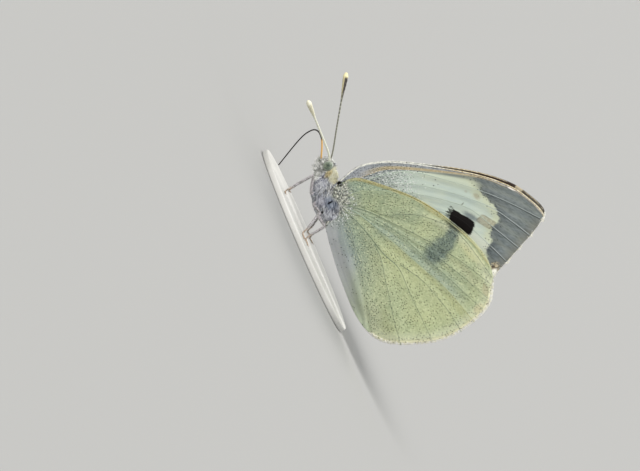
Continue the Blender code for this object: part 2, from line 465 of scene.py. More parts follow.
# ---------------------------------------------------------------------------------------------
# Meshes.


def object_of(name: str, mesh: Mesh, *finishes: Material) -> Piece:
    """Makes a smooth piece of the root body from a mesh whose points are already in place.

    Args:
        name: the piece's name.
        mesh: its mesh.
        finishes: its materials.

    Returns:
        The object, linked to the scene.
    """
    made = bpy.data.objects.new(name, mesh)
    bpy.context.scene.collection.objects.link(made)
    mesh.materials.clear()
    for finish in finishes:
        mesh.materials.append(finish)
    mesh.shade_smooth()
    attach(made, "root")
    LOG.info("%s: %d triangles", name, sum(len(p.vertices) - 2 for p in mesh.polygons))
    return made


def mesh_of(name: str, bm: BMesh) -> Mesh:
    """Turns a bmesh into a mesh.

    Args:
        name: the mesh's name.
        bm: the bmesh, which is freed.

    Returns:
        The mesh.
    """
    mesh = bpy.data.meshes.new(name)
    bm.to_mesh(mesh)
    bm.free()
    return mesh


def points_of(mesh: Mesh) -> Array:
    """Reads a mesh's points.

    Args:
        mesh: the mesh.

    Returns:
        The points, one a row.
    """
    flat = np.empty(len(mesh.vertices) * 3)
    mesh.vertices.foreach_get("co", flat)
    return flat.reshape(-1, 3)


def move_points(mesh: Mesh, points: Array) -> None:
    """Puts a mesh's points where the array says."""
    mesh.vertices.foreach_set("co", np.ascontiguousarray(points, dtype=float).ravel())
    mesh.update()


def keep(mesh: Mesh, name: str, values: Array) -> None:
    """Stores a number at each of a mesh's points, for its material."""
    kept = mesh.attributes.new(name, "FLOAT", "POINT")
    kept.data.foreach_set("value", np.ascontiguousarray(values, dtype=float))


def applied(mesh: Mesh, kind: str, **settings: object) -> Mesh:
    """Applies one modifier to a mesh.

    Args:
        mesh: the mesh, which is removed.
        kind: the modifier's type.
        settings: its settings.

    Returns:
        The changed mesh.
    """
    holder = bpy.data.objects.new("holder", mesh)
    bpy.context.scene.collection.objects.link(holder)
    change = holder.modifiers.new(kind.lower(), kind)
    for key, value in settings.items():
        setattr(change, key, value)
    graph = bpy.context.evaluated_depsgraph_get()
    made = bpy.data.meshes.new_from_object(holder.evaluated_get(graph))
    bpy.data.objects.remove(holder, do_unlink=True)
    bpy.data.meshes.remove(mesh)
    return made


def tube(bm: BMesh, course: Array, radii: Sequence[float], sides: int = 8, flat: float = 1.0) -> None:
    """Adds a closed tube along a course to a bmesh, in metres.

    Args:
        bm: the bmesh.
        course: points in stance millimetres.
        radii: a radius for each of them.
        sides: how many sides it has.
        flat: its height as a share of its width.
    """
    ring = bmesh.ops.create_circle(bm, segments=sides, radius=1.0)["verts"]
    points = list(ring)
    edges = list({e for v in ring for e in v.link_edges})
    ends = list(edges)
    for _ in course[1:]:
        grown = bmesh.ops.extrude_edge_only(bm, edges=edges)["geom"]
        ring = [part for part in grown if isinstance(part, bmesh.types.BMVert)]
        edges = [part for part in grown if isinstance(part, bmesh.types.BMEdge)]
        bmesh.ops.translate(bm, verts=ring, vec=(0.0, 0.0, 1.0))
        points += ring
    bmesh.ops.holes_fill(bm, edges=ends + edges, sides=0)
    ahead = np.gradient(course, axis=0)
    ahead /= np.linalg.norm(ahead, axis=1)[:, None]
    side = np.cross(ahead[0], (0.0, 0.0, 1.0) if abs(ahead[0][2]) < 0.9 else (1.0, 0.0, 0.0))
    frames = []
    for step in ahead:
        side = side - step * np.dot(side, step)
        side = side / np.linalg.norm(side)
        frames.append((side, np.cross(step, side) * flat))
    spots = placed(course)
    for vertex in points:
        k = round(vertex.co.z)
        across, up = frames[k]
        vertex.co = Vector(spots[k] + radii[k] * MM * (vertex.co.x * across + vertex.co.y * up))
    bmesh.ops.recalc_face_normals(bm, faces=list({f for v in points for f in v.link_faces}))


@dataclass(frozen=True)
class Tuft:
    """One tuft's own shape: a closed blade that narrows to its tip."""

    sides: int = 3
    joints: int = 3
    blunt: float = 0.0

    def shape(self) -> tuple[Array, Array]:
        """Builds the blade.

        Returns:
            Its points as (across, up, along), with along from 0 to 1, and its triangles.
        """
        bm = bmesh.new()
        ring = bmesh.ops.create_circle(bm, cap_ends=True, segments=self.sides, radius=1.0)["verts"]
        face = ring[0].link_faces[0]
        for joint in range(1, self.joints + 1):
            share = joint / self.joints
            width = max(self.blunt, 1 - share**1.6) if joint < self.joints else self.blunt
            grown = bmesh.ops.extrude_face_region(bm, geom=[face])["geom"]
            bmesh.ops.delete(bm, geom=[face], context="FACES_ONLY")
            face = next(part for part in grown if isinstance(part, bmesh.types.BMFace))
            for vertex in face.verts:
                length = math.hypot(vertex.co.x, vertex.co.y) or 1.0
                vertex.co = (vertex.co.x / length * width, vertex.co.y / length * width, share)
        if not self.blunt:
            bmesh.ops.pointmerge(bm, verts=list(face.verts), merge_co=(0, 0, 1))
        bmesh.ops.holes_fill(bm, edges=[e for e in bm.edges if e.is_boundary], sides=0)
        bmesh.ops.triangulate(bm, faces=bm.faces)
        bmesh.ops.recalc_face_normals(bm, faces=bm.faces)
        bm.verts.index_update()
        points = np.array([v.co for v in bm.verts])
        faces = np.array([[v.index for v in f.verts] for f in bm.faces])
        bm.free()
        return points, faces


@dataclass
class Roots:
    """Where tufts grow: their places, the way they lie and the way out of the skin."""

    places: Array
    lie: Array
    out: Array
    map_places: Array

    def some(self, chosen: Array) -> Roots:
        """Only the chosen ones."""
        return Roots(self.places[chosen], self.lie[chosen], self.out[chosen], self.map_places[chosen])


def joined(groups: Sequence[Roots]) -> Roots:
    """Several groups of roots as one."""
    parts = ([g.places, g.lie, g.out, g.map_places] for g in groups)
    return Roots(*(np.concatenate(arrays) for arrays in zip(*parts)))


SWAY = 0.09  # how far a tuft's tip strays sideways, as a share of its length
CLUMP_PULL = 1.6  # how strongly a clump's tufts share one shade
CLUMP_SPREAD = 0.55  # how much of each tuft's own shade is left in a clump


def coat(
    name: str,
    tuft: Tuft,
    roots: Roots,
    length: Array | float,
    width: Array | float,
    thick: float,
    lift: Array | float,
    droop: Array | float,
    finish: Material,
    rng: Chance,
    clump: float = 0.0,
) -> Piece:
    """Grows one joined mesh of tufts.

    Args:
        name: the piece's name.
        tuft: the shape of one tuft.
        roots: where they grow.
        length: how long each is, in millimetres.
        width: half of how wide each is at its root.
        thick: its thickness as a share of its width.
        lift: the angle at which it leaves the skin, in degrees.
        droop: how far its tip bends back to the skin, as a share of its length.
        finish: its material.
        rng: the source of chance.
        clump: the size of the clumps whose tufts are alike, in millimetres.

    Returns:
        The piece.
    """
    shape, faces = tuft.shape()
    count, corners = len(roots.places), len(shape)
    length, width, lift, droop = (
        np.broadcast_to(a, count)[:, None, None] for a in (length, width, lift, droop)
    )
    out = roots.out / np.linalg.norm(roots.out, axis=1)[:, None]
    lie = roots.lie - out * (roots.lie * out).sum(axis=1)[:, None]
    lie = lie / np.maximum(np.linalg.norm(lie, axis=1), 1e-9)[:, None]
    across = np.cross(lie, out)
    lie, out, across = lie[:, None, :], out[:, None, :], across[:, None, :]
    along = shape[None, :, 2:3]
    angle = np.radians(lift)
    rise = along * np.sin(angle) - droop * along**2
    sway = rng.normal(0, SWAY, count)[:, None, None] * along**2
    points = (
        roots.places[:, None, :]
        + length * (along * np.cos(angle) * lie + rise * out + sway * across)
        + width * (shape[None, :, 0:1] * across + thick * shape[None, :, 1:2] * out)
    )
    mesh = bpy.data.meshes.new(name)
    triangles = (faces[None] + (np.arange(count) * corners)[:, None, None]).reshape(-1, 3)
    mesh.vertices.add(count * corners)
    mesh.loops.add(triangles.size)
    mesh.polygons.add(len(triangles))
    mesh.vertices.foreach_set("co", placed(points.reshape(-1, 3)).ravel())
    mesh.loops.foreach_set("vertex_index", triangles.ravel().astype(np.int32))
    mesh.polygons.foreach_set("loop_start", np.arange(0, triangles.size, 3, dtype=np.int32))
    mesh.update(calc_edges=True)
    mesh.validate()
    chance = rng.random(count)
    if clump:
        cloud = np.array([noise.noise(Vector(place / clump)) for place in roots.places])
        chance = np.clip(0.5 + CLUMP_PULL * cloud + CLUMP_SPREAD * (chance - 0.5), 0.0, 1.0)
    keep(mesh, "chance", np.repeat(chance, corners))
    keep(mesh, "along", np.tile(shape[:, 2], count))
    patch = np.stack([shape[:, 0] * 0.5 + 0.5, shape[:, 2]], axis=1) * PATCH
    patches = (roots.map_places[:, None, :] * (1 - PATCH) + patch[None]).reshape(-1, 2)
    mesh.uv_layers.new(name=MAP_NAME).data.foreach_set("uv", patches[triangles.ravel()].ravel())
    return object_of(name, mesh, finish)


# ---------------------------------------------------------------------------------------------
# Wings.

FORE_HINGE = (-1.9, 7.1)  # the forewing's hinge, as (y, z)
FORE_HINGE_X = 1.6  # how far out the hinge is
FORE_GAP = 0.45  # how far out the closed forewing is
HINGE_REACH = 4.0  # how soon it closes
FLARE = 0.35  # how far its tip opens again
FLARE_REACH = 30.0
RIGHT_FORE_LEAN = 1.0  # how many degrees the right forewing stands further forward
LAYER = 0.62  # how far outside the forewing the hindwing lies
TAIL_GAP = 0.45  # how far out the hindwing's lower edge is
TAIL_TOP = 3.0
TAIL_FADE = 4.0
GUTTER_X = 2.2  # how far out the hindwing passes round the abdomen
GUTTER_ABOVE = 2.3
GUTTER_BELOW = 1.8
GUTTER_START = 1.5
GUTTER_END = 19.5
GUTTER_FADE = 4.5
ABDOMEN_CENTRE = (0.0, 9.7, 4.45)
ABDOMEN_PITCH = 3.5
MARGIN_POINTS = 600
GUIDE_POINTS = 60
LEAST_CELL = math.radians(0.4)  # the least angle between two guides, seen from the pivot
FRINGE_FADE = 0.04  # the share of the way round over which a fringe starts or ends


def forewing_spread(y: Array, z: Array) -> Array:
    """How far the middle of a closed forewing is from the body's middle plane.

    Args:
        y: how far back each place is.
        z: how high each place is.

    Returns:
        The distances, in millimetres.
    """
    reach = np.hypot(y - FORE_HINGE[0], z - FORE_HINGE[1])
    closing = (FORE_HINGE_X - FORE_GAP) * np.exp(-((reach / HINGE_REACH) ** 2))
    return FORE_GAP + closing + FLARE * (reach / FLARE_REACH) ** 3


def hindwing_spread(y: Array, z: Array) -> Array:
    """The same for a hindwing: over the forewing above, and round the abdomen below.

    Args:
        y: how far back each place is.
        z: how high each place is.

    Returns:
        The distances, in millimetres.
    """
    over = forewing_spread(y, z) + LAYER
    flat = TAIL_GAP + (over - TAIL_GAP) * fade((z - TAIL_TOP) / TAIL_FADE)
    slope = math.tan(math.radians(ABDOMEN_PITCH))
    height = z - (ABDOMEN_CENTRE[2] - slope * (y - ABDOMEN_CENTRE[1]))
    width = np.where(height > 0, GUTTER_ABOVE, GUTTER_BELOW)
    beside_body = fade((GUTTER_END - y) / GUTTER_FADE) * fade((y - GUTTER_START) / GUTTER_FADE)
    return flat + (GUTTER_X - flat) * np.exp(-((height / width) ** 2)) * beside_body


@dataclass(frozen=True)
class Vein:
    """A vein's radius at each end, and its course from the wing's root outwards, as (y, z)."""

    starts: float  # the share of its course where it rises from the membrane
    root_radius: float
    tip_radius: float
    course: tuple[Point, ...]


@dataclass
class WingPlan:
    """A wing seen from the side, and the courses that its marks follow.

    The guides run from the front edge to the inner edge, and a place's cell number is a whole
    number on each of them.
    """

    kind: str
    root: tuple[Point, Point]
    outline: tuple[Point, ...]
    pivot: Point
    guides: tuple[Vein, ...]
    spread: Callable[[Array, Array], Array]
    fringe: tuple[float, float]
    fringe_length: float
    pleat: float = 0.05
    columns: int = 220
    rows: int = 72
    membrane: float = 0.1

    def margin(self) -> Array:
        """The outline's points, from the front edge round to the inner edge."""
        return route(self.outline, MARGIN_POINTS)

    def cells(self, y: Array, z: Array) -> Array:
        """Finds which cell between the guides each place is in.

        Args:
            y: how far back each place is.
            z: how high each place is.

        Returns:
            The cells' numbers, whole on the guides and in between beside them.
        """
        reach = np.hypot(y - self.pivot[0], z - self.pivot[1])
        angle = np.arctan2(z - self.pivot[1], y - self.pivot[0])
        angles: list[Array] = []
        for guide in self.guides:
            away = route(guide.course, GUIDE_POINTS) - self.pivot
            far = np.maximum.accumulate(np.hypot(away[:, 0], away[:, 1]))
            turned = np.interp(reach, far, np.unwrap(np.arctan2(away[:, 1], away[:, 0])))
            angles.append(np.minimum(turned, angles[-1] - LEAST_CELL) if angles else turned)
        number = np.zeros_like(y)
        for before, after in zip(angles, angles[1:]):
            number += np.clip((before - angle) / (before - after), 0, 1)
        return number

    def fringe_share(self, around: Array) -> Array:
        """How much of the fringe's length the margin has at each share of the way round it."""
        start, end = self.fringe
        return fade((around - start) / FRINGE_FADE) * fade((end - around) / FRINGE_FADE)

    def sheet(self, side: Side) -> Sheet:
        """Builds the wing's membrane, up to where its fringe starts.

        Args:
            side: which wing it is.

        Returns:
            The membrane with what its coat needs.
        """
        bm = bmesh.new()
        bmesh.ops.create_grid(bm, x_segments=self.columns, y_segments=self.rows, size=0.5)
        mesh = mesh_of(self.kind, bm)
        around, outwards = points_of(mesh)[:, :2].T + 0.5
        root = np.asarray(self.root)
        start = root[0] + around[:, None] * (root[1] - root[0])
        margin = self.margin()
        edge = read(margin, around)
        ray = np.linalg.norm(edge - start, axis=1)
        trimmed = 1 - self.fringe_length * 0.8 * self.fringe_share(around) / ray
        flat = start + (outwards * trimmed)[:, None] * (edge - start)
        cell = self.cells(*flat.T)
        places = self.on_surface(flat, side, cell, fade(outwards * 2.5))
        move_points(mesh, placed(places))
        keep(mesh, "cell", cell)
        keep(mesh, "margin", nearest_on(flat, margin[::2])[1])
        keep(mesh, "mark", self.mark(flat))
        return Sheet(mesh, places, flat, cell, outwards, side)

    def mark(self, flat: Array) -> Array:
        """Measures places against the wing's own mark: the grey tip or the spot's show-through, both painted
        shade.

        Args:
            flat: the places, as (y, z).

        Returns:
            How far past the tip's edge, or how far across the spot's show-through, each of them is.
        """
        if self.kind == "forewing":
            return beyond(flat, route(TIP_EDGE, 120))
        widths = np.interp(np.linspace(0, 4, 41), range(5), SPOT_SHOW_THROUGH_WIDTHS)
        return within(flat, route(SPOT_SHOW_THROUGH, len(widths)), widths)

    def on_surface(
        self, flat: Array, side: Side, cell: Array | None = None, rise: Array | float = 1.0
    ) -> Array:
        """Puts places on the middle of the closed wing's membrane.

        Args:
            flat: the places, as (y, z).
            side: which wing it is.
            cell: their cells' numbers, if they are known.
            rise: how much of the pleats' height they have.

        Returns:
            The places as (x, y, z).
        """
        y, z = flat.T
        cell = self.cells(y, z) if cell is None else cell
        x = self.spread(y, z) + self.pleat * np.cos(2 * math.pi * cell) * rise
        if self.kind == "forewing" and side is Side.RIGHT:
            lean = math.radians(RIGHT_FORE_LEAN)
            dy, dz = y - FORE_HINGE[0], z - FORE_HINGE[1]
            y = FORE_HINGE[0] + dy * math.cos(lean) - dz * math.sin(lean)
            z = FORE_HINGE[1] + dy * math.sin(lean) + dz * math.cos(lean)
        return np.stack([x * side.value, y, z], axis=1)


@dataclass
class Sheet:
    """A wing's membrane before it is thickened, with each point's place and number."""

    mesh: Mesh
    places: Array
    flat: Array
    cell: Array
    outwards: Array
    side: Side

    def scatter(self, per_mm2: float, rng: Chance) -> tuple[Roots, Array, Array]:
        """Spreads roots over the outer face.

        Args:
            per_mm2: how many for each square millimetre.
            rng: the source of chance.

        Returns:
            The roots, each one's (y, z), and its cell number.
        """
        corners = np.empty(len(self.mesh.loops), dtype=np.int32)
        self.mesh.loops.foreach_get("vertex_index", corners)
        corners = corners.reshape(-1, 4)
        p = self.places[corners]
        across = np.cross(p[:, 2] - p[:, 0], p[:, 3] - p[:, 1])
        area = 0.5 * np.linalg.norm(across, axis=1)
        count = int(area.sum() * per_mm2)
        faces = rng.choice(len(area), count, p=area / area.sum())
        a, b = rng.random((2, count))
        weights = np.stack([(1 - a) * (1 - b), a * (1 - b), a * b, (1 - a) * b], axis=1)
        picked = corners[faces]
        places = (self.places[picked] * weights[:, :, None]).sum(axis=1)
        flat = (self.flat[picked] * weights[:, :, None]).sum(axis=1)
        cell = (self.cell[picked] * weights).sum(axis=1)
        out = across[faces]
        out *= (np.sign(out[:, 0] * self.side.value) / np.linalg.norm(out, axis=1))[:, None]
        root = np.array([0.0, *np.mean(self.flat[self.outwards < 0.001], axis=0)])
        lie = places - root
        lie[:, 0] = 0.0
        return Roots(places, lie, out, in_box(flat, self.flat)), flat, cell


# Where the grey tip starts on the forewing's underside; the grey is painted shade of the upperside's dark
# tip, seen through the wing.
TIP_EDGE = (
    (3.6, 26), (5.6, 27), (7.1, 27.2), (7.9, 27.2), (9.6, 27.9), (11.1, 28.2), (12.4, 28.3), (13.3, 27.8),
    (13.5, 26.7), (14.8, 25.9), (15.6, 25.7), (16.1, 24.8), (17.2, 24.2), (18.3, 24.1), (21.5, 23.5),
)
SPOT = (11.03, 22.68)
SPOT_HALF = (2.1, 1.18)
# The gap beside the wings' hinges is painted black on the wings, veins and body: shade in the hollow by the
# collar.
GAP = (-1.72, 8.1)  # the middle of the dark gap beside the wings' hinges, as (y, z)
HAIRLESS = (-1.75, 8.1)
HAIRLESS_RADIUS = 0.62
ROOT_EDGE = ((-1.9, 8.3), (0.5, 7.5), (1.6, 6), (3.1, 3.5))
# Course and half widths of the hindwing's painted shade where the forewing's spot shows through.
SPOT_SHOW_THROUGH = ((10.75, 21.9), (11.85, 20.9), (12.85, 19.6), (13.6, 17.9), (13.8, 17.2))
SPOT_SHOW_THROUGH_WIDTHS = (1, 1.05, 1.45, 2.1, 2.1)

FOREWING = WingPlan(
    kind="forewing",
    root=((-1.9, 7.1), (-0.3, 6.6)),
    outline=(
        (-2.3, 8.7), (-3, 11.7), (-1.75, 16.4), (1.78, 22.62), (5.48, 28.12), (9, 31.87), (12.35, 33.93),
        (14.7, 34.7), (16.15, 33.8), (18.6, 28.9), (20.75, 23.9), (21.4, 19.7), (20, 17.3), (12, 12.3),
        (5.5, 8.9), (1.3, 6.9),
    ),
    pivot=(-1.6, 7),
    guides=(
        Vein(0, 0.12, 0.06, ((-1.9, 7.7), (-2.9, 11.7), (-1.66, 16.4), (1.86, 22.58), (5.56, 28.06),
            (9.07, 31.8), (12.4, 33.85), (14.6, 34.58))),
        Vein(0, 0.08, 0.045, ((-1.7, 7.6), (-1.35, 9.6), (-1.3, 12.8), (-0.75, 15.9), (1.95, 21.35),
            (5.8, 28), (8.7, 31.05))),
        Vein(0.1, 0.09, 0.065, ((-1.6, 7.6), (-0.7, 10.5), (-0.3, 14.9), (1, 18.9), (4.4, 23.4), (8.3, 27.9),
            (11.6, 31), (15.2, 34))),
        Vein(0.2, 0.09, 0.07, ((-1.6, 7.6), (0.3, 12), (2.4, 17.6), (5.4, 22), (8.3, 25.4), (11, 28),
            (14, 29.9), (16.9, 31.5))),
        Vein(0.2, 0.09, 0.07, ((-1.6, 7.5), (0.9, 12), (3.6, 17), (6.8, 21.6), (9.8, 24.8), (13.8, 27),
            (18, 29.2))),
        Vein(0.2, 0.09, 0.07, ((-1.5, 7.5), (1.4, 11.6), (4.4, 16), (7.8, 19.9), (10.3, 22.6), (15, 24.9),
            (19.2, 26.7))),
        Vein(0.2, 0.09, 0.06, ((-1.5, 7.4), (1.9, 11.2), (5.4, 15), (10, 18.6), (15, 21.6), (20.3, 23.9))),
        Vein(0, 0.09, 0.06, ((-1.4, 7.3), (2.6, 10.4), (7, 13.4), (13, 16.6), (20.8, 20.6))),
        Vein(0, 0, 0, ((-0.8, 7), (1.3, 7.6), (5.5, 9.7), (12, 13), (20, 17.9))),
    ),
    spread=forewing_spread,
    fringe=(0.47, 0.74),
    fringe_length=0.52,
)

HINDWING = WingPlan(
    kind="hindwing",
    root=((-1.7, 7.4), (3.1, 3.6)),
    outline=(
        (-1.6, 8.2), (-1.85, 9.5), (-0.95, 11.75), (4.2, 17.3), (8.7, 20.55), (13.7, 23.1), (18, 24.15),
        (21.7, 23.4), (24.85, 20.8), (26.45, 14.2), (25.2, 8.5), (22.75, 4.1), (18.5, 2.38), (12, 2.35),
        (6.95, 2.85), (3.75, 3.35),
    ),
    pivot=(0.9, 6.2),
    guides=(
        Vein(0, 0.07, 0.055, ((-0.6, 7.2), (-1.7, 9.4), (-0.8, 11.75), (4.25, 17.2), (8.75, 20.45),
            (13.7, 23), (18, 24.05))),
        Vein(0.1, 0.08, 0.06, ((0.6, 7), (0.5, 9.6), (1.3, 12.2), (3.9, 16.4), (8.9, 20.25), (14, 22.85),
            (18.6, 24))),
        Vein(0.36, 0.08, 0.06, ((1, 7), (2.5, 9.5), (5.7, 12.9), (6.1, 14.4), (7.9, 17.8), (12.4, 21.65),
            (20.4, 23.7))),
        Vein(0, 0.09, 0.06, ((1.1, 7), (3.8, 10.3), (6.4, 12.6), (10.9, 16.4), (15.9, 20), (21.6, 23.2))),
        Vein(0.56, 0.08, 0.06, ((1.2, 7), (4.6, 10.4), (8.6, 13.3), (12.6, 16.2), (17.7, 19.1),
            (23.2, 21.8))),
        Vein(0.32, 0.08, 0.06, ((1.3, 7), (5.2, 10.3), (8.7, 13.2), (12.8, 15.1), (17.4, 17.3), (22.4, 19.5),
            (24.4, 20.5))),
        Vein(0.12, 0.075, 0.06, ((1.4, 7), (3.7, 8.9), (8.6, 11.6), (13.9, 14.1), (19, 16.4), (25.7, 18.5))),
        Vein(0.46, 0.08, 0.06, ((1.5, 6.9), (6.1, 8.8), (10.7, 10.1), (14.3, 12.3), (17.4, 14), (22.8, 15.6),
            (26.3, 16.1))),
        Vein(0, 0.09, 0.06, ((1.5, 6.9), (6.1, 8.7), (10.7, 9.95), (13.7, 11.2), (18.1, 11.25),
            (25.9, 11.5))),
        Vein(0.34, 0.08, 0.06, ((1.5, 6.8), (5.9, 8.5), (10.2, 9.3), (15, 8.5), (20, 7.5), (24.5, 6.8))),
        Vein(0, 0.08, 0.055, ((1.5, 6.6), (4.9, 6.8), (8, 6.4), (14.7, 5.2), (21.6, 3.4))),
        Vein(0, 0.07, 0.052, ((1.5, 6.3), (3.1, 5.9), (6.3, 5.3), (13.3, 4.5), (17, 3.7), (20.3, 2.8))),
        Vein(0, 0, 0, ((1.6, 4.8), (3.3, 3.65), (6.9, 2.85), (12, 2.4), (18.4, 2.45))),
    ),
    spread=hindwing_spread,
    fringe=(0.44, 0.79),
    fringe_length=0.5,
)


@dataclass(frozen=True)
class ForewingUnderside:
    """The forewing's outer face: white, a black spot, a grey tip in painted shade and a gold and grey front
    edge.
    """

    white: Colour = (205, 215, 200)
    cream: Colour = (208, 213, 184)
    tip_grey: Colour = (92, 100, 102)
    tip_blue: Colour = (116, 126, 132)
    black: Colour = (11, 7, 6)
    gold: Colour = (174, 160, 128)
    front_grey: Colour = (146, 149, 158)
    costa_shade: Colour = (118, 124, 134)
    ring_brown: Colour = (158, 147, 124)

    def material(self) -> Material:
        """Paints it.

        Returns:
            The material.
        """
        b = Brush("forewing_underside")
        cell, margin, mark = b.kept("cell"), b.kept("margin"), b.kept("mark")
        in_cell = b.sum("FRACT", cell)
        cloud = b.noise(5)
        rays = b.noise(0.42, 2, (1, 9, 1), 52)
        fine = b.noise(0.22)
        ragged = b.noise(0.7, 3, (1, 2.4, 1), 45)
        tooth = b.noise(0.26, 1, (1, 3.4, 1), 42)
        streak = b.noise(0.13, 1, (1, 6, 1), 34)
        reach = b.blot(FORE_HINGE, (1, 1))
        ground = b.between(cloud, 0.35, 0.65, self.white, (195, 208, 198))
        # The grey tip: painted shade where the upperside's dark tip shows through, darkest along its inner
        # edge.
        past = mark + (ragged - 0.5) * 1.3 + (tooth - 0.5) * 0.8
        sharp = b.ramp(b.y, 6, 9)
        tip = b.ramp(past, -0.2, 0.22) * sharp + b.ramp(past, -1.1, 1) * (1 - sharp)
        spot_edge = b.lozenge(SPOT, SPOT_HALF, 36, -0.18) + (tooth - 0.5) * 0.1 + (streak - 0.5) * 0.3
        spot = b.ramp(spot_edge, 1.04, 0.93)
        halo = b.dab((10.7, 24.3), (1.7, 0.6), 36, 1.1, 0.3, fine, 0.6)
        loose = b.dab((9.15, 21.75), (0.62, 0.85), 60, 1.05, 0.85, streak, 2.6)
        stain = b.lozenge((12.4, 26.2), (1.35, 0.75), 35, 0.3) + (ragged - 0.5) * 0.6
        shadow = b.ramp(in_cell, 0.09, 0.05) * b.ramp(in_cell, 0, 0.02)
        tip_colour = b.layered(
            b.between(rays, 0.3, 0.7, self.tip_grey, self.tip_blue),
            # Painted sheen: the grey tip lighter towards its front and top.
            (b.ramp(b.z - b.y * 0.9, 8, 19) * 0.55, (128, 136, 133)),
            (b.ramp(past, 2.4, 0.2) * 0.55, (72, 79, 84)),
            # Painted shade beside each of the tip's veins, together with the shadow layer below.
            (b.band(in_cell, 0.8, 1.2, 0.1) * 0.3, (66, 72, 76)),
            (b.band(in_cell, 0.4, 0.66, 0.14) * 0.4, (134, 139, 128)),
            (b.ramp(streak, 0.42, 0.62) * 0.35, (150, 156, 154)),
            (b.ramp(streak, 0.44, 0.3) * 0.4, (62, 68, 74)),
            (b.ramp(margin, 2.2, 0.4) * b.ramp(cell, 1.5, 2.5) * 0.4, (124, 118, 104)),
            (shadow * 0.75, (46, 50, 54)),
        )
        front = b.ramp(cell, 1.03, 0.93)
        edge = b.ramp(margin + (fine - 0.5) * 0.06, 0.22, 0.14) * b.ramp(cell, 2.6, 2)
        colour = b.layered(
            ground,
            (b.ramp(rays, 0.45, 0.62) * b.ramp(reach, 8, 16) * 0.3, (176, 190, 190)),
            (b.band(cell, 1.1, 2.3, 0.35) * b.ramp(reach, 9, 18) * 0.5, self.cream),
            (b.ramp(past, -1.7, -0.3) * 0.8, self.cream),
            (b.ramp(reach, 12.5, 5.5) * (0.3 + b.ramp(fine, 0.42, 0.56) * 0.6), (104, 110, 120)),
            # Painted shade: a dark grey line below the gold front band.
            (b.band(cell, 1, 1.5, 0.2) * b.ramp(reach, 18, 12) * 0.7, self.costa_shade),
            (b.band(cell, 1, 1.35, 0.15) * b.band(reach, 16, 21, 1.6) * 0.8, (112, 118, 121)),
            (b.ramp(stain, 1.02, 0.8) * 0.75, b.between(fine, 0.42, 0.6, (160, 150, 126), (182, 180, 158))),
            (b.band(stain, 0.86, 1, 0.07) * b.ramp(ragged, 0.35, 0.55) * 0.7, (126, 112, 84)),
            (b.dab((14.6, 23.8), (3.4, 1.1), 32, 1.2, 0.3) * 0.85, (226, 230, 216)),
            (b.dab((8.3, 26.4), (0.75, 0.5), 30, 1.1, 0.3, fine, 0.5) * 0.6, self.ring_brown),
            (b.dab((6.95, 25.2), (0.3, 0.24), 30, 1.1, 0.5) * 0.35, self.ring_brown),
            (b.dab((8.5, 23.95), (0.36, 0.1), 112, 1.15, 0.6) * 0.8, (88, 88, 76)),
            (tip, tip_colour),
            (b.dab((19.3, 24.6), (0.85, 0.7), 120, 1.1, 0.7, streak, 2.4) * 0.9,
             b.between(fine, 0.44, 0.56, (74, 56, 40), (206, 192, 160))),
            (b.dab((20.2, 23.75), (1.25, 0.6), 118, 1.1, 0.7, fine, 0.7), (246, 244, 232)),
            (halo * 0.85, self.tip_blue),
            (loose * 0.9, self.black),
            (spot, self.black),
            (front * 0.95, b.blend(b.ramp(fine, 0.42, 0.6) * 0.6, self.front_grey, (196, 200, 206))),
            # Painted shade: the gap beside the hinges in black.
            (b.dab(GAP, (0.66, 0.44), 25, 1.1, 0.6), (14, 13, 12)),
            (b.band(cell, 0.56, 1.04, 0.12) * b.ramp(reach, 3, 9) * (1 - b.ramp(reach, 21, 25) * 0.6),
             b.blend(b.ramp(fine, 0.5, 0.62) * 0.6, self.gold, (214, 198, 168))),
            (edge * b.ramp(reach, 17, 20), b.between(fine, 0.4, 0.6, (150, 132, 96), (224, 214, 190))),
            # Painted highlight: a white glint on the front edge.
            (b.dab((9.35, 31.75), (0.85, 0.16), 42, 1.1, 0.5, fine, 0.3), (244, 236, 228)),
            (b.ramp(margin, 0.12, 0.04) * b.ramp(reach, 27, 29) * 0.9, (222, 216, 190)),
        )
        scales = b.grains(0.11, (1, 2.2, 1), 50)
        normal = b.bump(scales * 0.6 + fine * 0.5 + rays * 1.6, 0.016)
        return b.done(colour, 0.65, normal, (0.26 - spot * 0.26 - tip * 0.1, (206, 214, 198)), shine=0.12)


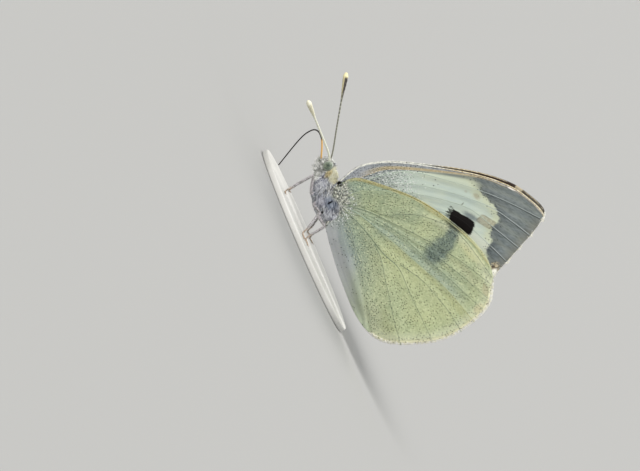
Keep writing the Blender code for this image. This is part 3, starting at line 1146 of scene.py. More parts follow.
@dataclass(frozen=True)
class HindwingUnderside:
    """The hindwing's outer face: pale yellow-green, gold along the front, grey in painted shade towards the
    body.
    """

    yellow: Colour = (186, 194, 154)
    green: Colour = (172, 184, 150)
    gold: Colour = (172, 167, 116)
    lilac: Colour = (158, 161, 166)
    blue: Colour = (156, 171, 160)
    root_grey: Colour = (132, 141, 137)
    slate: Colour = (122, 137, 128)
    smudge: Colour = (82, 98, 98)

    def material(self) -> Material:
        """Paints it.

        Returns:
            The material.
        """
        b = Brush("hindwing_underside")
        cell, margin, mark = b.kept("cell"), b.kept("margin"), b.kept("mark")
        cloud = b.noise(4, 3)
        fine = b.noise(0.25)
        rays = b.noise(0.42, 2, (1, 8, 1), 32)
        patchy = b.noise(1.1, 3, (1, 1.8, 1), 35)
        reach = b.blot(HINDWING.pivot, (1, 1))
        ground = b.between(cloud, 0.35, 0.65, self.yellow, self.green)
        wobble = (patchy - 0.5) * 0.55
        # Painted shade where the forewing's spot shows through the wing.
        shade = b.ramp(mark + (patchy - 0.5) * 0.7, 1.15, 0.45)
        body = b.ramp(cell + wobble * 0.25, 9.9, 11.15)
        grain = b.noise(0.15, 1, (1, 2, 1), 32)
        nick = b.lozenge((21.9, 22), (0.75, 0.45), 150, 0.8) + (fine - 0.5) * 0.4
        colour = b.layered(
            ground,
            (b.ramp(reach, 16, 3) * 0.7, b.between(cloud, 0.3, 0.7, self.green, self.slate)),
            (b.band(cell + wobble, 0.15, 1, 0.2) * b.ramp(reach, 17, 4) * 0.8, (140, 158, 140)),
            (b.band(cell + wobble, 1.1, 2.8, 0.5) * b.ramp(reach, 14, 6) * 0.5, (152, 164, 132)),
            (b.band(cell + wobble * 0.5, 3.3, 5.95, 0.5) * b.ramp(reach, 20, 7) * 0.7, (150, 166, 147)),
            # Painted light and shade along the wing's fold: blue-green bands beside it and a pale stripe on
            # it.
            (b.band(cell, 5.4, 6.05, 0.3) * b.ramp(reach, 5, 9) * b.ramp(reach, 27, 20) * 0.6, self.blue),
            (b.band(cell, 4.7, 5.8, 0.4) * b.ramp(reach, 10, 16) * b.ramp(reach, 26, 20) * 0.5,
             (148, 165, 152)),
            (b.band(cell, 6.05, 6.5, 0.15) * b.ramp(reach, 8, 13) * 0.5, (181, 183, 132)),
            (b.band(cell, 6.4, 8.6, 0.6) * b.band(reach, 9, 25, 3) * 0.6, (195, 202, 155)),
            (b.band(cell + wobble * 0.6, 9.1, 10.5, 0.5) * b.ramp(reach, 19, 9) * 0.6, self.slate),
            (b.band(cell, 9.5, 10.8, 0.5) * b.ramp(reach, 13, 18) * 0.4, (150, 160, 140)),
            (b.band(cell, 8.9, 9.9, 0.4) * b.ramp(reach, 6, 10) * 0.25, (190, 192, 146)),
            # Painted shade: grey-lilac where the abdomen behind the wing keeps out the light that shines
            # through the rest of it.
            (body * (0.92 - b.ramp(reach, 13, 21) * 0.4),
             b.blend(b.ramp(reach, 8, 15) * 0.9, self.lilac, (160, 170, 150))),
            (b.ramp(cell, 11.15, 11.8) * b.ramp(reach, 19, 11) * 0.6, (196, 199, 204)),
            (b.ramp(cell, 11.6, 10.4) * b.ramp(cell, 9.4, 10.2) * b.ramp(reach, 15, 8) * 0.75,
             (122, 134, 134)),
            (b.band(b.sum("FRACT", cell * 2.7), 0.35, 0.6, 0.15) * body * 0.2, (134, 138, 144)),
            (b.ramp(reach, 5, 2) * 0.7, b.between(fine, 0.45, 0.6, self.root_grey, (160, 166, 164))),
            (b.dab((18.4, 4.7), (3, 1.7), -8, 1.2, 0.3, patchy, 0.6) * 0.6, (194, 200, 170)),
            (b.dab((13.4, 5.3), (2.9, 1.6), -6, 1.2, 0.3, patchy, 0.5) * 0.55, (142, 151, 130)),
            (b.dab((7.6, 7), (5, 1.2), -4, 1.2, 0.3, patchy, 0.6) * 0.45, (136, 150, 132)),
            (b.dab((6.2, 5.4), (3.2, 1), -12, 1.2, 0.5, patchy, 0.8) * 0.6, (118, 129, 126)),
            # Painted highlight: a long pale yellow patch near the front edge.
            (b.dab((15.9, 22.3), (3.7, 1.05), 22, 1.1, 0.2, cloud, 0.5) * 0.85, (216, 216, 164)),
            (b.dab((18.9, 20.6), (3.2, 0.9), 15, 1.2, 0.2) * 0.3, (176, 171, 142)),
            (b.ramp(cell, 1, 0.75) * b.ramp(reach, 18, 21) * 0.7, (212, 210, 164)),
            (b.ramp(margin + (fine - 0.5) * 0.2, 0.6, 0.4) * b.ramp(cell, 1.2, 0.8) * b.ramp(reach, 3, 6)
             * b.ramp(reach, 18.5, 14.5) * 0.7, b.between(cloud, 0.4, 0.6, self.gold, (184, 168, 108))),
            # Painted shade: darker olive above the spot's show-through.
            (b.dab((10.3, 19.8), (1.8, 1.2), 35, 1.2, 0.3, patchy, 0.6) * 0.5, (138, 148, 120)),
            (b.dab((8.4, 19.8), (3.2, 0.95), 33, 1.1, 0.3, fine, 0.5) * b.ramp(cell, 1.6, 0.8) * 0.75,
             (200, 180, 112)),
            (b.ramp(margin, 2.4, 0.8) * b.ramp(cell, 1.2, 2.4) * b.ramp(cell, 10.4, 9.4) * 0.58,
             (222, 224, 198)),
            # Painted shade of the forewing's spot seen through the wing, and a darker painted shadow just
            # under it.
            (shade * (0.72 + b.ramp(fine, 0.4, 0.6) * 0.2), self.smudge),
            (b.dab((11.2, 21.4), (2.1, 0.62), 30, 1.1, 0.4, fine, 0.9) * 0.92, (60, 62, 53)),
            # Pale and dark grains, tinted by the painted shade.
            (b.ramp(grain, 0.52, 0.68) * (1 - body * 0.8) * 0.55,
             b.blend(shade, (224, 228, 188), (168, 182, 166))),
            (b.ramp(grain, 0.46, 0.32) * (1 - body * 0.8) * 0.42,
             b.blend(shade, (122, 138, 112), (36, 50, 48))),
            (b.band(margin, 0.62, 0.82, 0.1) * b.ramp(cell, 3, 4.5) * b.ramp(cell, 10, 9) * 0.3,
             (190, 176, 136)),
            (b.dab((24, 19.9), (1.1, 0.6), 110, 1.1, 0.5, fine, 0.5) * 0.7, (214, 206, 170)),
            (b.ramp(nick, 1, 0.85) * 0.6, (176, 168, 138)),
            (b.band(nick, 0.85, 1, 0.07) * 0.6, (128, 116, 86)),
            (b.ramp(margin, 0.72, 0.5) * b.ramp(cell, 2.5, 4) * b.ramp(cell, 10.6, 9.4) * 0.9,
             (246, 242, 208)),
            # Painted shade: the gap beside the hinges in black.
            (b.dab(GAP, (0.66, 0.44), 25, 1.1, 0.6), (14, 13, 12)),
        )
        scales = b.grains(0.11, (1, 2.2, 1), 32)
        normal = b.bump(scales * 0.6 + fine * 0.5 + rays * 1.2, 0.016)
        through = 0.24 - shade * 0.12 - body * 0.14
        return b.done(colour, 0.62, normal, (through, (204, 212, 172)), shine=0.12)


@dataclass(frozen=True)
class Upperside:
    """A wing's inner face, which is white with a dark tip and a grey root."""

    name: str
    dark_from: float
    rimmed: float
    white: Colour = (219, 222, 212)
    dark: Colour = (44, 42, 42)

    def material(self) -> Material:
        """Paints it.

        Returns:
            The material.
        """
        b = Brush(self.name)
        fine = b.noise(0.25)
        ragged = b.noise(0.8, 3)
        root = b.blot(FORE_HINGE, (1, 1))
        tip = b.ramp(b.z - b.y * 0.25 + (ragged - 0.5) * 3, self.dark_from, self.dark_from + 0.8)
        rim = (
            b.ramp(b.kept("margin"), 0.9, 0.6) * b.ramp(b.kept("cell"), 2.2, 1.4) * b.ramp(root, 13, 16)
            * self.rimmed
        )
        cross = b.dab((9.75, 32.75), (0.7, 0.6), 45, 1.1, 0.7) * self.rimmed
        colour = b.layered(
            b.between(fine, 0.4, 0.6, self.white, (206, 210, 203)),
            (b.ramp(root, 8, 2) * 0.8, (120, 124, 126)),
            (tip, self.dark),
            (rim, b.between(root, 27, 30, (50, 34, 22), (72, 66, 54))),
            (cross * 0.8, (196, 184, 156)),
        )
        normal = b.bump(b.grains(0.12, (1, 2.2, 1), 40), 0.01)
        return b.done(colour, 0.6, normal, (0.25 - tip * 0.2, (222, 226, 210)), shine=0.35)


@dataclass(frozen=True)
class VeinFinish:
    """Veins: pale where the forewing's tip is grey, thin and dark on the hindwing."""

    kind: str

    def material(self) -> Material:
        """Paints them.

        Returns:
            The material.
        """
        b = Brush(f"{self.kind}_veins")
        fine = b.noise(0.3)
        guide = b.kept("guide")
        if self.kind == "forewing":
            reach = b.blot(FORE_HINGE, (1, 1))
            tip = b.ramp(b.z + b.ramp(b.y, 12, 17) * 4, 26, 28.5)
            front = b.ramp(guide, 1.5, 1.4)
            edge = b.ramp(guide, 0.6, 0.4)
            colour = b.layered(
                (170, 182, 168),
                (tip, (172, 181, 178)),
                (b.ramp(b.lozenge(SPOT, SPOT_HALF, 36, -0.18), 1, 0.94), (16, 13, 12)),
                (front, b.between(fine, 0.4, 0.6, (168, 150, 114), (216, 202, 176))),
                (front * b.ramp(reach, 23, 26) * 0.8, (188, 180, 152)),
                (edge, b.between(fine, 0.4, 0.6, (186, 187, 182), (234, 233, 222))),
                (edge * b.ramp(reach, 15, 19), b.between(fine, 0.4, 0.6, (190, 172, 134), (232, 222, 196))),
            )
        else:
            reach = b.blot(HINDWING.pivot, (1, 1))
            edge = b.ramp(guide, 0.6, 0.4)
            lit_fold = b.band(guide, 5.6, 6.4, 0.1)
            inner = b.ramp(guide, 9.6, 10.4)
            colour = b.layered(
                b.between(fine, 0.35, 0.65, (116, 128, 108), (136, 147, 122)),
                (b.ramp(reach, 9, 4) * 0.5, (130, 143, 126)),
                # Painted highlight: the pale line along the fold.
                (lit_fold, b.between(reach, 17, 22, (152, 168, 150), (176, 174, 124))),
                (b.band(guide, 0.6, 1.4, 0.1) * 0.6, (164, 174, 138)),
                (b.band(guide, 0.6, 1.4, 0.1) * b.ramp(reach, 17, 20) * 0.8, (190, 178, 126)),
                (inner, b.between(reach, 8, 14, (146, 155, 148), (154, 165, 142))),
                # Painted shade: veins darker where the forewing's spot shows through.
                (b.dab((13.8, 17.6), (2.2, 2), 0, 1, 0.7) * 0.7, (70, 84, 80)),
                (edge, b.between(fine, 0.4, 0.6, (158, 154, 112), (186, 180, 136))),
                (edge * b.ramp(reach, 4.5, 2.5), (168, 172, 168)),
                (edge * b.ramp(reach, 14.5, 18.5) * 0.85, (196, 202, 168)),
                # Painted shadow on the front vein just under the forewing's spot.
                (edge * b.dab((11.4, 22.1), (2.4, 0.9), 28, 1, 0.6) * 0.7, (108, 100, 80)),
            )
        # Painted shade: the gap beside the hinges in black.
        colour = b.blend(b.dab(GAP, (0.6, 0.4), 25, 1.1, 0.7), colour, (18, 17, 16))
        return b.done(colour, 0.6, b.bump(fine, 0.01), shine=0.15)


@dataclass(frozen=True)
class Plain:
    """Small loose scales and hairs of one colour, each a little lighter or darker than the next."""

    name: str
    dark: Colour
    light: Colour
    roughness: float = 0.55
    through: float = 0.0
    split: float = 0.5

    def material(self) -> Material:
        """Paints them.

        Returns:
            The material.
        """
        b = Brush(self.name)
        colour = b.between(b.kept("chance"), 0.5 - self.split, 0.5 + self.split, self.dark, self.light)
        glow = (self.through, self.light) if self.through else None
        return b.done(colour, self.roughness, b.bump(b.noise(0.08, 1), 0.004), glow, shine=0.2)


@dataclass
class Wing:
    """One wing: its membrane, its veins, its fringe and the loose scales that speckle it."""

    plan: WingPlan
    side: Side
    finishes: dict[str, Material]
    rng: Chance
    vein_points: int = 64
    fringe_step: float = 0.035
    dust_per_mm2: float = 40.0
    dust_gap: float = 0.22
    hair_per_mm2: float = 170.0

    @property
    def node(self) -> str:
        """The wing's node."""
        return f"{self.plan.kind}_{self.side.word}"

    def build(self) -> None:
        """Builds and dresses the wing's pieces."""
        plan, side = self.plan, self.side
        sheet = plan.sheet(side)
        self._veins()
        self._fringe()
        self._dust(sheet)
        if plan.kind == "hindwing":
            self._root_hair(sheet)
        mesh = applied(sheet.mesh, "SOLIDIFY", thickness=plan.membrane * MM, offset=0.0)
        membrane = object_of(f"{self.node}_membrane", mesh, self.finishes["under"], self.finishes["upper"])
        normals = np.empty(len(mesh.polygons) * 3)
        mesh.polygons.foreach_get("normal", normals)
        inner = (normals.reshape(-1, 3)[:, 0] * side.value < 0).astype(np.int32)
        mesh.polygons.foreach_set("material_index", inner)
        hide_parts(self.node)

    def _veins(self) -> None:
        """Builds the raised veins along the guides."""
        bm = bmesh.new()
        guides: list[Array] = []
        for number, vein in enumerate(self.plan.guides):
            if not vein.root_radius:
                continue
            course = route(vein.course, self.vein_points)[int(vein.starts * (self.vein_points - 1)) :]
            share = np.linspace(vein.starts, 1, len(course))
            radii = vein.root_radius + (vein.tip_radius - vein.root_radius) * share
            tube(bm, self.plan.on_surface(course, self.side), radii, 6)
            guides.append(np.full(len(bm.verts) - sum(map(len, guides)), float(number)))
        mesh = mesh_of(f"{self.node}_veins", bm)
        keep(mesh, "guide", np.concatenate(guides))
        veins = object_of(f"{self.node}_veins", mesh, self.finishes["veins"])

    def _fringe(self) -> None:
        """Grows the fringe of long scales round the outer margin."""
        plan, rng = self.plan, self.rng
        start, end = plan.fringe
        margin = plan.margin()
        length = np.linalg.norm(np.diff(margin, axis=0), axis=1).sum() * (end - start)
        count = int(length / self.fringe_step)
        around = np.sort(rng.uniform(start, end, count))
        edge = read(margin, around)
        tangent = read(np.gradient(margin, axis=0), around)
        tangent /= np.linalg.norm(tangent, axis=1)[:, None]
        outwards = np.stack([-tangent[:, 1], tangent[:, 0]], axis=1)
        share = plan.fringe_share(around)
        long = plan.fringe_length * (0.75 + 0.5 * rng.random(count))
        if plan.kind == "forewing":
            cell = plan.cells(*(edge - 0.3 * outwards).T)
            apex = fade((0.535 - around) / 0.03) + fade((around - 0.69) / 0.03)
            near_vein = np.exp(-((np.abs(cell - np.round(cell)) / 0.13) ** 2))
            scallop = 0.25 + 0.75 * np.clip(near_vein + apex, 0, 1)
        else:
            scallop = 0.62 + 0.38 * rng.random(count) ** 0.7
        flat = edge - outwards * (long * 0.95 * share)[:, None]
        places = plan.on_surface(flat, self.side)
        places[:, 0] += self.side.value * rng.uniform(-0.03, 0.05, count)
        lie = np.stack([np.zeros(count), outwards[:, 0], outwards[:, 1]], axis=1)
        lie[:, 1:] += 0.12 * rng.normal(size=(count, 2))
        out = np.tile((float(self.side.value), 0.0, 0.0), (count, 1))
        chosen = share > 0.2
        roots = Roots(places, lie, out, in_box(flat, margin)).some(chosen)
        fringe = coat(
            f"{self.node}_fringe", Tuft(4, 2, 0.35), roots, (long * scallop * share)[chosen], 0.05, 0.3,
            rng.normal(0, 5, count)[chosen], 0.0, self.finishes["fringe"], rng,
        )

    def _dust(self, sheet: Sheet) -> None:
        """Sprinkles the loose dark and pale scales over the outer face.

        Args:
            sheet: the wing's membrane.
        """
        rng, plan = self.rng, self.plan
        roots, flat, cell = sheet.scatter(self.dust_per_mm2, rng)
        roots.places += roots.out * (plan.membrane / 2)
        y, z = flat.T
        reach = np.hypot(y - plan.pivot[0], z - plan.pivot[1])
        roll = rng.random(len(y))
        if plan.kind == "forewing":
            dark = roll < 0.42 * fade((12 - reach) / 5) + 0.09 * fade((18 - reach) / 8) * fade(3.2 - cell)
            near_tip = fade(1 - np.abs(within(flat, route(TIP_EDGE, 60), np.ones(60)) - 0.2) / 0.9)
            dark |= roll < 0.1 * near_tip
            pale = (roll > 0.42) & (roll < 0.42 + 0.6 * fade((14.5 - reach) / 5)) & (cell > 1)
        else:
            chance = 0.12 + 0.1 * fade((15 - reach) / 9) + 0.1 * fade(1 - np.abs(cell - 9.9) / 0.9)
            chance = chance * (1 - 0.9 * fade((cell - 10.2) / 0.6))
            chance = chance * (1 - 0.6 * fade((2.2 - cell) / 0.6) * fade((y - 13) / 3))
            # Dark scales crowd where the forewing's spot shows through: speckles, and painted shade of the
            # spot as well.
            chance = chance + 0.34 * fade(1.5 - plan.mark(flat)) + 0.25 * fade((4.5 - reach) / 2.5)
            clouds = np.array([noise.noise(Vector((a / 1.3, c / 1.3, 0.0))) for a, c in flat])
            dark = roll < chance * (1.0 + 1.6 * clouds)
            pale = (roll > 0.5) & (roll < 0.5 + 0.4 * fade((3.6 - reach) / 1.6))
        dark[dark] = spaced(flat[dark], self.dust_gap)
        spread = 0.25 * np.linalg.norm(roots.lie, axis=1)[:, None]
        roots.lie = roots.lie + spread * rng.normal(size=roots.lie.shape)
        for chosen, word in ((dark, "dark"), (pale, "pale")):
            count = int(chosen.sum())
            piece = coat(
                f"{self.node}_{word}_scales", Tuft(4, 1, 0.6), roots.some(chosen),
                rng.uniform(0.11, 0.2, count), rng.uniform(0.04, 0.066, count), 0.3,
                rng.uniform(4, 16, count), 0.05, self.finishes[word], rng,
            )

    def _root_hair(self, sheet: Sheet) -> None:
        """Grows the white and black hair that spreads from the body over the wing's root.

        Args:
            sheet: the wing's membrane.
        """
        rng = self.rng
        roots, flat, _ = sheet.scatter(self.hair_per_mm2, rng)
        roots.places += roots.out * (self.plan.membrane / 2)
        away = beyond(flat, route(ROOT_EDGE, 60))
        y, z = flat.T
        wide = 0.35 + 0.85 * fade((z - 4.8) / 1.6)
        chosen = (rng.random(len(y)) < fade(1.15 - away / wide)) & (away > -1.2)
        roots = roots.some(chosen & (np.hypot(y - HAIRLESS[0], z - HAIRLESS[1]) > HAIRLESS_RADIUS))
        count = len(roots.places)
        roots.lie = roots.lie / np.linalg.norm(roots.lie, axis=1)[:, None]
        roots.lie = roots.lie + 0.5 * rng.normal(size=(count, 3))
        piece = coat(
            f"{self.node}_root_hair", Tuft(3, 2), roots, rng.uniform(0.2, 0.46, count), 0.036, 0.5,
            rng.uniform(4, 20, count), 0.06, self.finishes["root"], rng, 0.17,
        )


# ---------------------------------------------------------------------------------------------
# Body.

COAT_DEPTH = 0.32


@dataclass(frozen=True)
class Lump:
    """An oval part of the body, along y, that a coat grows on."""

    centre: Place
    half: Place
    pitch: float = 0.0
    taper: float = 0.0

    def on(self, side: Side) -> Lump:
        """The same lump on one side of the body."""
        return replace(self, centre=(self.centre[0] * side.value, *self.centre[1:]))

    def turn(self) -> Array:
        """The lump's own axes, one a column."""
        return np.array(Matrix.Rotation(math.radians(-self.pitch), 3, "X"))

    def add_to(self, bm: BMesh, less: float, rings: int) -> None:
        """Adds the lump to a bmesh, in metres.

        Args:
            bm: the bmesh.
            less: how much smaller it is all round, in millimetres.
            rings: how fine it is.
        """
        size = Matrix.Diagonal((*((h - less) * MM for h in self.half), 1.0))
        turn = Matrix.Rotation(math.radians(-self.pitch), 4, "X")
        upright = Matrix.Rotation(math.radians(90), 4, "X")
        spot = Matrix.Translation(Vector(placed(np.array(self.centre))))
        bmesh.ops.create_uvsphere(
            bm, u_segments=rings, v_segments=rings, radius=1.0, matrix=spot @ turn @ size @ upright
        )

    def scatter(self, count: int, depth: float) -> tuple[Roots, Array]:
        """Spreads roots evenly over the lump.

        Args:
            count: how many.
            depth: how far inside the lump's surface they are, in millimetres.

        Returns:
            The roots, with the way from front to back as their lie, and their places on the unit ball.
        """
        i = np.arange(count) + 0.5
        along = 1 - 2 * i / count
        turn = math.pi * (1 + math.sqrt(5)) * i
        ring = np.sqrt(1 - along**2)
        unit = np.stack([ring * np.cos(turn), along, ring * np.sin(turn)], axis=1)
        half = np.asarray(self.half) - depth
        local = unit * half
        local[:, [0, 2]] *= (1 - self.taper * along)[:, None]
        axes = self.turn()
        lie = np.tile(axes @ np.array([0.0, 1.0, 0.0]), (count, 1))
        round_it = (np.arctan2(unit[:, 2], unit[:, 0]) / (2 * math.pi)) % 1.0
        maps = np.stack([round_it, along * 0.5 + 0.5], axis=1)
        return Roots(local @ axes.T + self.centre, lie, unit / half @ axes.T, maps), unit

    def inside(self, places: Array, depth: float = 0.0) -> Array:
        """Which places lie inside the lump, less a depth."""
        local = (places - self.centre) @ self.turn() / (np.asarray(self.half) - depth)
        return (local**2).sum(axis=1) < 1


THORAX = Lump((0.0, 0.0, 5.55), (2.3, 4.0, 2.85), 10.0)
HEAD = Lump((0.0, -4.95, 7.15), (1.2, 1.4, 1.45), 20.0)
EYE = Lump((0.98, -4.97, 7.48), (0.7, 0.76, 0.86))
ABDOMEN = Lump(ABDOMEN_CENTRE, (1.65, 6.9, 1.75), ABDOMEN_PITCH, 0.12)
PALP = Lump((0.5, -5.75, 6.0), (0.36, 0.48, 1.15), -42.0)
NECK = Lump((0.0, -3.6, 6.9), (1.25, 1.35, 1.5), 20.0)
CHEST = Lump((0.0, -3.3, 5.2), (1.12, 1.4, 1.2), 10.0)
THROAT = Lump((0.0, -4.3, 5.75), (0.8, 0.85, 0.9))
HIPS = tuple(Lump((1.0, y, z), (0.55, 0.5, 0.9)) for y, z in ((-1.75, 4.15), (-0.45, 3.85), (1.15, 3.85)))
EYES = tuple((EYE.on(side), -0.04) for side in Side)


def clear_of(roots: Roots, unit: Array, *lumps: tuple[Lump, float]) -> tuple[Roots, Array]:
    """Leaves out the roots that other lumps cover.

    Args:
        roots: the roots.
        unit: their places on the unit ball.
        lumps: each lump, and how far inside its surface it starts to cover them.

    Returns:
        The roots that are left, and their places on the unit ball.
    """
    clear = np.ones(len(unit), dtype=bool)
    for lump, depth in lumps:
        clear &= ~lump.inside(roots.places, depth)
    return roots.some(clear), unit[clear]


@dataclass(frozen=True)
class BodyFinish:
    """The body's colours, the same for its skin and its coat: slate and white, cream on the collar."""

    name: str
    hairy: bool
    dark: Colour = (62, 66, 74)
    slate: Colour = (200, 205, 218)
    white: Colour = (255, 255, 252)
    cream: Colour = (255, 254, 234)
    gold: Colour = (234, 216, 160)
    black: Colour = (14, 13, 14)

    def material(self) -> Material:
        """Paints it.

        Returns:
            The material.
        """
        b = Brush(self.name)
        fine = b.noise(0.25)
        cloud = b.noise(1.2)
        side_x = abs(b.x)
        chance = b.kept("chance") if self.hairy else b.ramp(fine, 0.3, 0.7)
        root_shade = b.ramp(b.kept("along"), 0.5, 0) * 0.3 if self.hairy else b.ramp(fine, 0.3, 0.7) * 0.1
        slate = b.between(chance, 0.14, 0.46, self.dark, self.slate)
        slate = b.between(chance + (b.ramp(b.z - b.y * 0.3, 4.6, 6.4) - 0.6) * 0.25, 0.62, 0.82, slate,
            self.white)
        lilac = b.between(chance, 0.14, 0.62, (138, 140, 158), (248, 250, 255))
        chest = b.dab((-3.5, 5.2), (1.5, 2), 60, 1.15, 0.7, cloud, 0.4)
        flank = b.dab((2.3, 4.4), (1.3, 1.3), 0, 1.15, 0.7, cloud, 0.4)
        under = b.ramp(b.z + (cloud - 0.5) * 1.2, 4.2, 3) * b.ramp(b.y, 4, 1)
        collar = b.dab((-3.1, 7.95), (1.7, 1.25), 10, 1.15, 0.75, cloud, 0.4)
        neck = b.dab((-3.8, 7), (0.45, 0.95), 20, 1.1, 0.5, fine, 0.8)
        face = b.ramp(b.y + b.z * 0.35 + (cloud - 0.5) * 0.5, -1.7, -2.3)
        # Painted shade: the gap beside the wings' hinges in black.
        gap = b.dab((-1.8, 7.95), (0.58, 0.44), 20, 1.1, 0.6) * b.ramp(side_x, 0.5, 0.9)
        slits = b.dab((0.3, 5.6), (0.17, 0.55), 8, 1.1, 0.5)
        slits = slits.most(b.dab((1.25, 3.75), (0.2, 0.5), 20, 1.1, 0.5))
        slits = slits.most(b.dab((-2, 4.8), (1, 0.1), 117, 1.1, 0.5) * 0.6)
        slits = slits * b.ramp(side_x, 0.6, 1.2)
        wing_root = b.dab((0.4, 7.6), (2.4, 1.3), 30, 1.1, 0.5, fine, 0.8) * b.ramp(side_x, 0.9, 1.4)
        tail = b.ramp(b.y, 3, 5.5)
        tail_colour = b.between(b.z + (cloud - 0.5), 4, 5.6, (206, 208, 200), (112, 114, 118))
        colour = b.layered(
            slate,
            (chest * 0.9, lilac),
            (flank * 0.8, lilac),
            (under * 0.7, lilac),
            (b.dab((0.4, 5.8), (1.4, 1.3), 60, 1.1, 0.5, cloud, 0.6) * 0.62,
             b.between(chance, 0.2, 0.6, (104, 118, 140), (160, 174, 196))),
            (b.dab((-0.4, 4.3), (1.1, 0.9), 0, 1.15, 0.5, cloud, 0.4) * 0.7,
             b.between(chance, 0.1, 0.6, (164, 166, 184), (246, 246, 255))),
            (wing_root * 0.85, b.between(chance, 0.2, 0.5, (62, 64, 62), (255, 255, 244))),
            (face * 0.97, b.between(chance, 0.12, 0.4, (172, 176, 166), self.white)),
            (collar, b.between(chance, 0.05, 0.35, (230, 224, 190), self.cream)),
            (neck * 0.8, b.between(chance, 0.3, 0.6, (168, 152, 104), self.gold)),
            # Painted shade in the gap beside the hinges.
            (gap, self.black),
            (slits, self.black),
            (tail * 0.9, tail_colour),
            (root_shade * (1 - collar), (70, 72, 76)),
        )
        if not self.hairy:
            # The skin is darkened, most on the face: painted shade between the hairs.
            return b.done(b.blend(0.12 + face * (1 - collar) * 0.3, colour, (66, 68, 70)), 0.75,
                b.bump(fine, 0.02), shine=0.2)
        through = 0.07 - gap.most(slits) * 0.07
        return b.done(colour, 0.6, b.bump(fine, 0.01), (through, (246, 246, 242)), shine=0.25)


